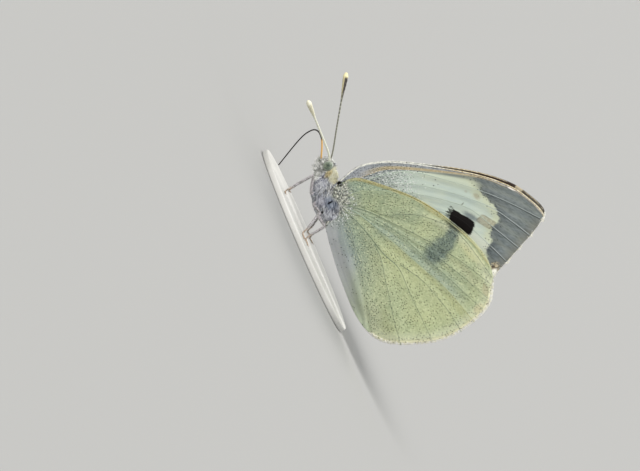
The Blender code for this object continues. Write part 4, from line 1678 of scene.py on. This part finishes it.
@dataclass
class Trunk:
    """Head, thorax, abdomen and palps under one skin, and the coat that grows on it."""

    rng: Chance
    finish: Material
    voxel: float = 0.085
    groove: float = 0.05

    def build(self) -> None:
        """Builds the skin and all its coats."""
        self._skin()
        self._thorax_coat()
        self._chest_coat()
        self._neck_coat()
        self._hip_coat()
        self._head_coat()
        self._brow_coat()
        self._palp_coat()
        self._abdomen_coat()

    def _skin(self) -> None:
        """Builds one skin over all the lumps, with a neck, hips and abdomen rings."""
        bm = bmesh.new()
        for lump, less, rings in (
            (THORAX, COAT_DEPTH, 32), (HEAD, 0.22, 24), (NECK, 0.2, 20), (CHEST, 0.25, 20), (THROAT, 0.2, 18),
        ):
            lump.add_to(bm, less, rings)
        for side in Side:
            for lump in (PALP, *HIPS):
                lump.on(side).add_to(bm, 0.12, 14)
        rings = np.linspace(-1, 1, 60)
        course = np.stack([0 * rings, rings * (ABDOMEN.half[1] - 0.1), 0 * rings], axis=1)
        groove = 1 - self.groove * np.abs(np.cos(rings * math.pi * 4.0)) ** 6
        radii = (ABDOMEN.half[0] - 0.16) * np.sqrt(np.maximum(1 - rings**2, 0.003))
        radii = radii * (1 - ABDOMEN.taper * rings) * groove
        tube(bm, course @ ABDOMEN.turn().T + ABDOMEN.centre, radii, 28, ABDOMEN.half[2] / ABDOMEN.half[0])
        bmesh.ops.recalc_face_normals(bm, faces=bm.faces)
        mesh = applied(mesh_of("skin", bm), "REMESH", mode="VOXEL", voxel_size=self.voxel * MM)
        mesh = applied(mesh, "SMOOTH", factor=0.5, iterations=4)
        skin = object_of("skin", mesh, BodyFinish("body_skin", False).material())
        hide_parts("thorax", "head", "abdomen", "palp_left", "palp_right")

    def _grow(
        self,
        name: str,
        roots: Roots,
        length: Array,
        width: Array | float,
        lift: Array | float,
        droop: Array | float,
        tuft: Tuft = Tuft(),
    ) -> None:
        """Grows one coat, as coat() does."""
        piece = coat(name, tuft, roots, length, width, 0.45, lift, droop, self.finish, self.rng, 0.25)

    def _thorax_coat(self) -> None:
        """Long hair that sweeps back and down over the thorax, and out over the wings' roots."""
        rng = self.rng
        roots, unit = clear_of(*THORAX.scatter(12400, COAT_DEPTH + 0.02), (HEAD, 0.3), (ABDOMEN, 0.3))
        count = len(unit)
        y, z = roots.places[:, 1], roots.places[:, 2]
        down = np.clip(0.5 - unit[:, 2], -0.2, 1.2) * 0.55
        roots.lie = roots.lie + np.outer(down, (0.0, 0.0, -1.0)) + 0.26 * rng.normal(size=(count, 3))
        collar = fade((-1.7 - y) / 0.8) * fade((z - 6.9) / 0.8)
        beside_wing = fade((z - 6.3) / 0.6) * fade((2.6 - y) / 0.8) * fade((y + 1.6) / 0.8)
        beside_wing = beside_wing * (np.abs(unit[:, 0]) > 0.3)
        length = rng.uniform(0.6, 1.25, count) * (1 - 0.45 * fade(unit[:, 1] * 1.5))
        length = length * (1 - 0.1 * collar + 0.35 * beside_wing)
        lift = rng.uniform(4, 14, count) * (1 - 0.6 * collar) + 28 * beside_wing * rng.random(count)
        self._grow("thorax_coat", roots, length, 0.042 + 0.024 * collar, lift, 0.10 - 0.06 * collar)

    def _chest_coat(self) -> None:
        """Hair that hangs down over the chest and the throat."""
        rng = self.rng
        chest, _ = clear_of(*CHEST.scatter(1500, 0.27), (THORAX, COAT_DEPTH), (THROAT, 0.25))
        throat, _ = clear_of(*THROAT.scatter(900, 0.22), (CHEST, 0.3), (HEAD, 0.3))
        roots = joined((chest, throat))
        count = len(roots.places)
        roots.lie = roots.lie * 0.5 + np.array([0.0, 0.0, -0.8]) + 0.3 * rng.normal(size=(count, 3))
        self._grow("chest_coat", roots, rng.uniform(0.4, 0.8, count), 0.044, rng.uniform(4, 15, count), 0.08)

    def _neck_coat(self) -> None:
        """The collar's thick hair."""
        rng = self.rng
        roots, unit = clear_of(*NECK.scatter(2600, 0.22), (THORAX, 0.45), (HEAD, 0.3), *EYES)
        count = len(unit)
        top = fade((unit[:, 2] + 0.1) / 0.7)
        roots.lie = roots.lie + 0.3 * rng.normal(size=(count, 3)) + np.outer(1 - top, (0.0, 0.0, -0.6))
        length = rng.uniform(0.4, 0.75, count) * (0.8 + 0.35 * top)
        lift = rng.uniform(3, 10, count) + 22 * top * (rng.random(count) > 0.8)
        self._grow("neck_coat", roots, length, 0.062, lift, 0.03)

    def _hip_coat(self) -> None:
        """Short hair on the legs' hips."""
        rng = self.rng
        hips = (hip.on(side) for side in Side for hip in HIPS)
        roots = joined([clear_of(*hip.scatter(420, 0.12), (THORAX, 0.4))[0] for hip in hips])
        count = len(roots.places)
        roots.lie = np.tile((0.0, 0.15, -1.0), (count, 1)) + 0.3 * rng.normal(size=(count, 3))
        self._grow("hip_coat", roots, rng.uniform(0.3, 0.55, count), 0.026, rng.uniform(5, 18, count), 0.08)

    def _head_coat(self) -> None:
        """Short hair on the head, bristling round the face and the crown."""
        rng = self.rng
        roots, unit = clear_of(*HEAD.scatter(2200, 0.24), (THORAX, 0.3), *EYES)
        count = len(unit)
        crown = fade((unit[:, 2] - 0.1) / 0.6)
        front = fade((-unit[:, 1] - 0.1) / 0.7)
        roots.lie = roots.lie + np.outer(front, (0.0, -1.6, 0.3)) + 0.35 * rng.normal(size=(count, 3))
        length = rng.uniform(0.35, 0.72, count) * (0.8 + 0.25 * np.maximum(crown, front))
        lift = 12 + 48 * np.maximum(crown, front) * rng.random(count)
        self._grow("head_coat", roots, length, 0.036, lift, 0.0)

    def _brow_coat(self) -> None:
        """A wreath of short white bristles round each eye, some of which lean in over its rim."""
        rng, count, depth = self.rng, 380, 0.2
        for side in Side:
            turn = rng.uniform(0, 2 * math.pi, count)
            away = np.stack([0 * turn, np.cos(turn), np.sin(turn)], axis=1)
            ring = rng.uniform(0.95, 1.12, count)
            places = np.array([0.0, *EYE.centre[1:]]) + away * (EYE.half[1] * ring)[:, None]
            local = (places - HEAD.centre) / (np.asarray(HEAD.half) - depth)
            bulge = np.sqrt(np.maximum(1 - (local[:, 1:] ** 2).sum(axis=1), 0.12))
            places[:, 0] = (HEAD.half[0] - depth) * bulge * side.value
            inwards = rng.random(count) < 0.35
            out = away * 0.25 + np.array([side.value * 1.0, 0.0, 0.0])
            lie = np.where(inwards[:, None], -away, away) + 0.3 * rng.normal(size=(count, 3))
            maps = np.stack([turn / (2 * math.pi), ring - 0.6], axis=1)
            lift = np.where(inwards, rng.uniform(66, 84, count), rng.uniform(30, 65, count))
            length = np.where(inwards, rng.uniform(0.3, 0.42, count), rng.uniform(0.35, 0.62, count))
            self._grow(f"brow_{side.word}_coat", Roots(places, lie, out, maps), length, 0.04, lift, 0.0)

    def _palp_coat(self) -> None:
        """Stiff bristles that fan out from the palps."""
        rng, count = self.rng, 400
        for side in Side:
            roots, _ = PALP.on(side).scatter(count, 0.14)
            ahead = np.array([0.15 * side.value, -0.8, -0.1])
            roots.lie = np.tile(ahead, (count, 1)) + 0.45 * rng.normal(size=(count, 3))
            long = rng.random(count) > 0.6
            length = np.where(long, rng.uniform(0.5, 0.78, count), rng.uniform(0.2, 0.4, count))
            lift = np.where(long, rng.uniform(28, 64, count), rng.uniform(8, 26, count))
            self._grow(f"palp_{side.word}_coat", roots, length, 0.036, lift, 0.0)

    def _abdomen_coat(self) -> None:
        """Short flat scales along the abdomen."""
        rng = self.rng
        roots, unit = clear_of(*ABDOMEN.scatter(5200, 0.15), (THORAX, 0.3))
        count = len(unit)
        roots.lie = roots.lie + 0.12 * rng.normal(size=(count, 3))
        fluffy = fade((5.5 - roots.places[:, 1]) / 2.5)
        length = rng.uniform(0.35, 0.55, count) * (1 + 1.0 * fluffy)
        self._grow("abdomen_coat", roots, length, 0.055, 9 + 8 * fluffy, 0.08, Tuft(4, 2, 0.3))


@dataclass(frozen=True)
class EyeFinish:
    """A green-grey eye of many facets, with the dark dots that such eyes show."""

    side: Side

    def material(self) -> Material:
        """Paints it.

        Returns:
            The material.
        """
        b = Brush(f"eye_{self.side.word}_facets")
        cloud = b.noise(0.5)
        facets = b.grains(0.055)
        colour = b.between(cloud, 0.35, 0.65, (84, 100, 84), (128, 138, 120))
        rim = b.ramp(b.blot(EYE.centre[1:], EYE.half[1:]), 0.6, 0.9)
        colour = b.blend(rim * 0.75, colour, (170, 176, 166))
        for ring, (count, radius, size) in enumerate(((1, 0, 0.15), (6, 0.26, 0.11), (6, 0.47, 0.09))):
            for k in range(count):
                angle = math.radians(360 / count * k + 30 * ring)
                y = EYE.centre[1] - 0.05 + radius * math.cos(angle)
                z = EYE.centre[2] + 0.05 + radius * math.sin(angle)
                dot = b.dab((y, z), (size, size), 0, 1.15, 0.65) * (1 - 0.25 * ring)
                dots = dots.most(dot) if ring else dot
        colour = b.blend(dots * 0.9, colour, (18, 32, 24))
        return b.done(colour, 0.42, b.bump(facets, 0.01), shine=0.35)


@dataclass
class Eye:
    """A big round eye, set into the side of the head."""

    side: Side

    def build(self) -> None:
        """Builds it."""
        bm = bmesh.new()
        EYE.on(self.side).add_to(bm, 0.01, 48)
        bmesh.ops.recalc_face_normals(bm, faces=bm.faces)
        piece = object_of(f"eye_{self.side.word}_ball", mesh_of("eye", bm), EyeFinish(self.side).material())
        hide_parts(f"eye_{self.side.word}")


# ---------------------------------------------------------------------------------------------
# Feelers, tongue and legs.


FEELER_RINGS = 38
TONGUE_RINGS = 110


class FeelerTone(Enum):
    """How dark an antenna's shaft is painted: pale in painted light on the near one, darker in painted shade
    on the far one.
    """

    PALE = "pale"
    DARK = "dark"


def along_of(mesh: Mesh, course: Array) -> Array:
    """How far along a course, in metres, each point of a mesh lies, from 0 to 1."""
    return nearest_on(points_of(mesh), course)[0] / (len(course) - 1)


@dataclass(frozen=True)
class FeelerFinish:
    """An antenna: ringed shaft, and a club with a cream tip."""

    tone: FeelerTone

    def material(self) -> Material:
        """Paints it.

        Returns:
            The material.
        """
        b = Brush(f"antenna_{self.tone.value}_scales")
        along = b.kept("along")
        ring = b.sum("FRACT", along * FEELER_RINGS)
        fine = b.noise(0.12)
        rings = b.ramp(ring, 0.55, 0.7) * b.ramp(fine, 0.35, 0.55)
        if self.tone is FeelerTone.PALE:
            # Painted light: the near antenna pale all over.
            colour = b.blend(rings * 0.45, (226, 226, 208), (176, 176, 156))
            club = b.between(fine, 0.4, 0.6, (196, 190, 158), (222, 218, 196))
            tip = (236, 232, 208)
        else:
            # Painted shade: the far antenna's shaft darker.
            colour = b.blend(rings * 0.7, (84, 84, 70), (170, 172, 156))
            above = b.ramp(b.z + (b.y + 10.4) * 0.632 - 11.2 + (fine - 0.5) * 0.2, -0.16, 0.02)
            club = b.blend(above, (198, 188, 148), (34, 24, 14))
            tip = (236, 226, 178)
        colour = b.layered(colour, (b.ramp(along, 0.82, 0.9), club), (b.ramp(along, 0.955, 0.975), tip))
        return b.done(colour, 0.55, b.bump(b.ramp(ring, 0, 0.2) + fine * 0.4, 0.012))


@dataclass
class Feeler:
    """An antenna: a thin ringed shaft that swells into a club."""

    side: Side
    course: tuple[Place, ...]
    tone: FeelerTone
    shaft: float
    club: float = 0.4
    club_share: float = 0.19
    cap: float = 0.03
    crowding: float = 1.7
    rings: int = 150

    def build(self) -> None:
        """Builds it."""
        share = 1 - (1 - np.linspace(0, 1, self.rings)) ** self.crowding
        places = read(route(self.course, self.rings), share)
        swell = np.clip((share - 1 + self.club_share) / (self.club_share - self.cap), 0, 1)
        radii = self.shaft + (self.club - self.shaft) * (0.35 * swell + 0.65 * fade(swell))
        radii *= np.sqrt(np.clip(1 - np.clip((share - 1 + self.cap) / self.cap, 0, 1) ** 2, 0.01, 1))
        radii *= 1 + 0.05 * np.cos(share * FEELER_RINGS * 2 * math.pi)
        radii[:3] *= 1.35
        bm = bmesh.new()
        tube(bm, places, radii, 14)
        mesh = mesh_of("antenna", bm)
        keep(mesh, "along", 1 - (1 - along_of(mesh, placed(places))) ** self.crowding)
        piece = object_of(f"antenna_{self.side.word}_whip", mesh, FeelerFinish(self.tone).material())
        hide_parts(f"antenna_{self.side.word}")


@dataclass(frozen=True)
class TongueFinish:
    """The tongue: amber where it leaves the head, then black."""

    def material(self) -> Material:
        """Paints it.

        Returns:
            The material.
        """
        b = Brush("tongue_rings")
        along = b.kept("along")
        ring = b.sum("FRACT", along * TONGUE_RINGS)
        colour = b.between(along, 0.24, 0.31, (206, 160, 84), (22, 18, 15))
        return b.done(colour, 0.35, b.bump(b.ramp(ring, 0.1, 0.5), 0.008))


@dataclass
class Tongue:
    """The tongue's two halves, side by side, which make its tube."""

    course: tuple[Place, ...]
    radius: float = 0.12

    def build(self) -> None:
        """Builds it."""
        places = route(self.course, 120)
        share = np.linspace(0, 1, len(places))
        radii = self.radius * (1.1 - 0.35 * share)
        bm = bmesh.new()
        for side in Side:
            half = places.copy()
            half[:, 0] += side.value * radii * 0.8
            tube(bm, half, radii, 10)
        mesh = mesh_of("tongue", bm)
        keep(mesh, "along", along_of(mesh, placed(places)))
        piece = object_of("tongue", mesh, TongueFinish().material())
        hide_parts("proboscis")


@dataclass(frozen=True)
class LegFinish:
    """Legs: white and grey scales over tan, with darker feet."""

    def material(self) -> Material:
        """Paints them.

        Returns:
            The material.
        """
        b = Brush("leg_scales")
        fine = b.noise(0.14)
        streak = b.noise(0.3)
        colour = b.between(fine, 0.4, 0.62, (146, 140, 142), (194, 191, 196))
        colour = b.blend(b.ramp(streak, 0.5, 0.66) * 0.7, colour, (74, 71, 74))
        foot = b.ramp(b.z, 1.6, 0.5)
        colour = b.blend(foot * 0.7, colour, b.between(fine, 0.4, 0.6, (150, 118, 84), (186, 158, 120)))
        return b.done(colour, 0.6, b.bump(fine, 0.015))


@dataclass
class Leg:
    """A leg with its thigh, shin, five-part foot and two claws."""

    kind: str
    side: Side
    joints: tuple[tuple[float, ...], ...]
    finish: Material
    coat_finish: Material
    rng: Chance
    thigh: float = 0.25
    shin: float = 0.17
    foot: float = 0.11
    sole: float = 0.16
    segment_points: int = 14
    bristles_per_mm: float = 46.0

    def build(self) -> None:
        """Builds the leg and its short bristles."""
        hip, trochanter, knee, ankle, heel, claw = (
            np.array([p[0] * self.side.value, p[1], p[2] if len(p) > 2 else self.sole]) for p in self.joints
        )
        bm = bmesh.new()
        self._part(bm, hip, trochanter, 0.5, (0.3, 0.32, 0.24))
        self._part(bm, trochanter, knee, 0.35, (0.2, self.thigh, 0.16))
        self._part(bm, knee, ankle, 0.5, (0.16, self.shin * 0.85, self.shin))
        foot = route([ankle, heel, heel + (claw - heel) * 0.5, claw], 16)
        foot[:, 2] = np.maximum(foot[:, 2], self.sole * 0.9)
        for k in range(5):
            radii = (self.foot * 0.75, self.foot, self.foot * (1.15 - 0.04 * k))
            self._segment(bm, foot[[k * 3, k * 3 + 1, k * 3 + 3]], radii)
        ahead = (claw - heel) / np.linalg.norm(claw - heel)
        beside = np.cross(ahead, (0.0, 0.0, 1.0))
        for hand in (-1, 1):
            tip = claw + ahead * 0.22 + beside * hand * 0.16 + (0, 0, -0.07)
            middle = claw + ahead * 0.14 + beside * hand * 0.13 + (0, 0, 0.06)
            tube(bm, route([claw, middle, tip], 7), np.linspace(0.05, 0.015, 7), 6)
            spur = ankle + beside * hand * 0.2 + (ankle - knee) / np.linalg.norm(ankle - knee) * 0.35
            middle = (ankle + spur) / 2 + beside * hand * 0.06
            tube(bm, route([ankle, middle, spur], 6), np.linspace(0.04, 0.012, 6), 6)
        bmesh.ops.recalc_face_normals(bm, faces=bm.faces)
        node = f"{self.kind}_{self.side.word}"
        piece = object_of(f"{node}_limb", mesh_of(node, bm), self.finish)
        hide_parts(node)
        bristles = self._bristles(
            node, ((trochanter, knee, self.thigh), (knee, ankle, self.shin), (ankle, heel, self.foot))
        )

    def _part(self, bm: BMesh, start: Array, end: Array, bulge: float, radii: Sequence[float]) -> None:
        """Adds one straight segment, whose middle radius comes at a share of its length."""
        self._segment(bm, np.array([start, start + (end - start) * bulge, end]), radii)

    def _segment(self, bm: BMesh, places: Array, radii: Sequence[float]) -> None:
        """Adds one rounded segment.

        Args:
            bm: the bmesh.
            places: the points that it passes through.
            radii: its radii at even steps.
        """
        share = np.linspace(0, 1, self.segment_points)
        swell = np.interp(share, np.linspace(0, 1, len(radii)), radii)
        swell = swell * np.clip(np.sin(np.clip(share, 0.04, 0.96) * math.pi) ** 0.25, 0.4, 1)
        tube(bm, route(places, self.segment_points), swell, 10)

    def _bristles(self, node: str, parts: Sequence[tuple[Array, Array, float]]) -> Piece:
        """Grows short bristles that lie along the leg.

        Args:
            node: the leg's node.
            parts: each segment's start, end and radius.

        Returns:
            The piece.
        """
        rng = self.rng
        groups: list[Roots] = []
        for part, (start, end, radius) in enumerate(parts):
            ahead = (end - start) / np.linalg.norm(end - start)
            side = np.cross(ahead, (0.3, 0.1, 1.0))
            side /= np.linalg.norm(side)
            count = int(np.linalg.norm(end - start) * self.bristles_per_mm)
            share, turn = rng.random(count), rng.uniform(0, 2 * math.pi, count)
            away = np.outer(np.cos(turn), side) + np.outer(np.sin(turn), np.cross(ahead, side))
            places = start + np.outer(share, end - start) + away * radius * 0.85
            maps = np.stack([turn / (2 * math.pi), (part + share) / len(parts)], axis=1)
            groups.append(Roots(places, np.tile(ahead, (count, 1)), away, maps))
        roots = joined(groups)
        count = len(roots.places)
        return coat(
            f"{node}_bristles", Tuft(3, 2), roots, rng.uniform(0.16, 0.34, count), 0.022, 0.5,
            rng.uniform(8, 24, count), 0.05, self.coat_finish, rng,
        )


# ---------------------------------------------------------------------------------------------
# Base and studio.


@dataclass(frozen=True)
class StoneFinish:
    """Pale honed stone with fine grains."""

    def material(self) -> Material:
        """Paints it.

        Returns:
            The material.
        """
        b = Brush("honed_stone")
        cloud = b.noise(6, 4)
        grain = b.noise(0.35, 3)
        colour = b.between(cloud, 0.3, 0.7, (196, 195, 190), (208, 207, 203))
        colour = b.blend(b.ramp(grain, 0.62, 0.72) * 0.4, colour, (160, 158, 152))
        return b.done(colour, 0.55 + (grain - 0.5) * 0.2, b.bump(grain, 0.01))


@dataclass
class DisplayBase:
    """The thin oval slab that the feet stand on."""

    length: float = 30.0
    width: float = 20.0
    edge: float = 0.25

    def build(self) -> None:
        """Builds it."""
        bm = bmesh.new()
        bmesh.ops.create_cone(
            bm, cap_ends=True, segments=160, radius1=0.5, radius2=0.5, depth=1.0,
            matrix=Matrix.Translation((0.0, 0.0, 0.5 * BASE_THICK * MM))
            @ Matrix.Diagonal((self.width * MM, self.length * MM, BASE_THICK * MM, 1.0)),
        )
        rims = [e for e in bm.edges if abs(e.calc_face_angle(0.0)) > math.radians(60)]
        bmesh.ops.bevel(
            bm, geom=rims, offset=self.edge * MM, offset_type="OFFSET", affect="EDGES", segments=4,
            profile=0.5, material=-1, clamp_overlap=True,
        )
        mesh = mesh_of("slab", bm)
        piece = object_of("display_slab", mesh, StoneFinish().material())
        mesh.set_sharp_from_angle(angle=math.radians(30))
        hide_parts("stand_base")


@dataclass(frozen=True)
class Studio:
    """A plain pale floor, soft light, and the camera at the animal's left."""

    floor_half: float = 30.0
    distance: float = 900.0
    view_width: float = 97.7
    aim: tuple[float, float, float] = (0.0, 4.29, 2.05)
    elevation: float = 4.0
    roll: float = 66.6
    sensor: float = 36.0

    def build(self) -> None:
        """Sets up everything that isn't the butterfly."""
        bpy.context.scene.view_settings.view_transform = "Standard"
        self._floor()
        self._light()
        self._camera()

    def _floor(self) -> None:
        """Lays the floor."""
        bm = bmesh.new()
        bmesh.ops.create_grid(bm, x_segments=1, y_segments=1, size=self.floor_half)
        floor = bpy.data.objects.new("floor", mesh_of("floor", bm))
        bpy.context.scene.collection.objects.link(floor)
        b = Brush("floor_paper")
        floor.data.materials.append(b.done((166, 166, 165), 0.9, shine=0.1))

    def _light(self) -> None:
        """Sets an even sky, a soft key from above and in front, and a weaker light from behind."""
        world = bpy.data.worlds.new("soft_sky")
        world.use_nodes = True
        sky = world.node_tree.nodes["Background"]
        sky.inputs["Color"].default_value = (0.96, 0.98, 1.0, 1.0)
        sky.inputs["Strength"].default_value = 0.62
        bpy.context.scene.world = world
        for name, towards, strength, angle, colour in (
            ("key", (0.72, -0.25, 0.75), 2.8, 35.0, (1.0, 0.98, 0.94)),
            ("back", (-0.75, 0.25, 0.7), 1.3, 30.0, (1.0, 0.97, 0.9)),
        ):
            sun = bpy.data.lights.new(name, "SUN")
            sun.energy, sun.angle, sun.color = strength, math.radians(angle), colour
            lamp = bpy.data.objects.new(name, sun)
            lamp.rotation_mode = "QUATERNION"
            lamp.rotation_quaternion = Vector(towards).to_track_quat("Z", "Y")
            bpy.context.scene.collection.objects.link(lamp)

    def _camera(self) -> None:
        """Sets the camera on the animal's left, rolled as it is held."""
        rise, turn = math.radians(self.elevation), math.radians(self.roll)
        back = Vector((math.cos(rise), 0.0, math.sin(rise)))
        level, above = Vector((0.0, 1.0, 0.0)), Vector((-math.sin(rise), 0.0, math.cos(rise)))
        right = level * math.cos(turn) + above * math.sin(turn)
        up = above * math.cos(turn) - level * math.sin(turn)
        lens = bpy.data.cameras.new("camera")
        lens.sensor_width = self.sensor
        lens.lens = self.sensor * self.distance / self.view_width
        lens.clip_start, lens.clip_end = 0.05, 100.0
        camera = bpy.data.objects.new("camera", lens)
        spot = Vector(placed(np.array(self.aim))) + back * self.distance * MM
        rows = ((right[k], up[k], back[k], spot[k]) for k in range(3))
        camera.matrix_world = Matrix((*rows, (0, 0, 0, 1)))
        bpy.context.scene.collection.objects.link(camera)
        bpy.context.scene.camera = camera


FEELERS = {
    Side.LEFT: (
        ((0.45, -5.4, 7.8), (1.3, -6.7, 8.35), (4.1, -9.85, 8.65), (9.75, -15.1, 9.15)),
        FeelerTone.PALE,
        0.15,
    ),
    Side.RIGHT: (
        ((-0.45, -5.4, 7.8), (-0.8, -6.7, 8.9), (-2, -10.4, 11.2), (-4.65, -17.05, 15.4)),
        FeelerTone.DARK,
        0.12,
    ),
}
TONGUE = (
    (0, -5.7, 6.5), (0, -8.1, 7.75), (0, -9.45, 8.2), (0, -10.55, 8.05), (0, -10.95, 7.15),
    (0, -10.45, 5.1), (0, -8.1, 0.5),
)
LEGS = {
    "foreleg": ((0.8, -1.7, 4.4), (1.2, -2.1, 3.35), (2, -4.6, 4.95), (3.3, -4.2, 1.3), (3.9, -4),
        (5.2, -3.7)),
    "midleg": ((0.9, -0.5, 4), (1.35, -0.5, 3.05), (3.4, 1, 3.7), (5.1, 2.5, 1.2), (5.7, 2.9), (6.8, 3.8)),
    "hindleg": ((0.9, 1.1, 4), (1.45, 1.3, 3.05), (3.3, 3.3, 3.5), (3.9, 3.6, 1.1), (4.3, 3.9), (5.3, 4.9)),
}


@dataclass
class Butterfly:
    """The whole animal on its base."""

    rng: Chance = field(default_factory=lambda: np.random.default_rng(SEED))

    def build(self) -> None:
        """Builds every part, from the base up."""
        DisplayBase().build()
        Trunk(self.rng, BodyFinish("body_coat", True).material()).build()
        for side in Side:
            Eye(side).build()
        leg_skin = LegFinish().material()
        leg_coat = Plain("leg_bristles", (120, 116, 110), (214, 212, 208)).material()
        for side in Side:
            Feeler(side, *FEELERS[side]).build()
            for kind, joints in LEGS.items():
                Leg(kind, side, joints, leg_skin, leg_coat, self.rng).build()
        Tongue(TONGUE).build()
        self._wings()

    def _wings(self) -> None:
        """Builds the four wings."""
        shared = {
            "dark": Plain("dark_scales", (10, 14, 12), (48, 56, 48)),
            "pale": Plain("pale_scales", (206, 210, 208), (250, 251, 246)),
            "fringe": Plain("fringe_scales", (236, 232, 206), (255, 255, 252), through=0.12),
            "root": Plain("root_hair", (72, 78, 74), (255, 255, 242), through=0.1, split=0.16),
        }
        materials = {word: finish.material() for word, finish in shared.items()}
        for plan, under, upper in (
            (FOREWING, ForewingUnderside(), Upperside("forewing_upperside", 25.5, 1.0)),
            (HINDWING, HindwingUnderside(), Upperside("hindwing_upperside", 60.0, 0.0)),
        ):
            own = {"under": under, "upper": upper, "veins": VeinFinish(plan.kind)}
            finishes = materials | {word: finish.material() for word, finish in own.items()}
            for side in Side:
                Wing(plan, side, finishes, self.rng).build()


def main() -> None:
    """Builds the model."""
    logging.basicConfig(level=logging.INFO, format="%(message)s")
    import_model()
    Studio().build()
    Butterfly().build()


if __name__ == "__main__":
    main()
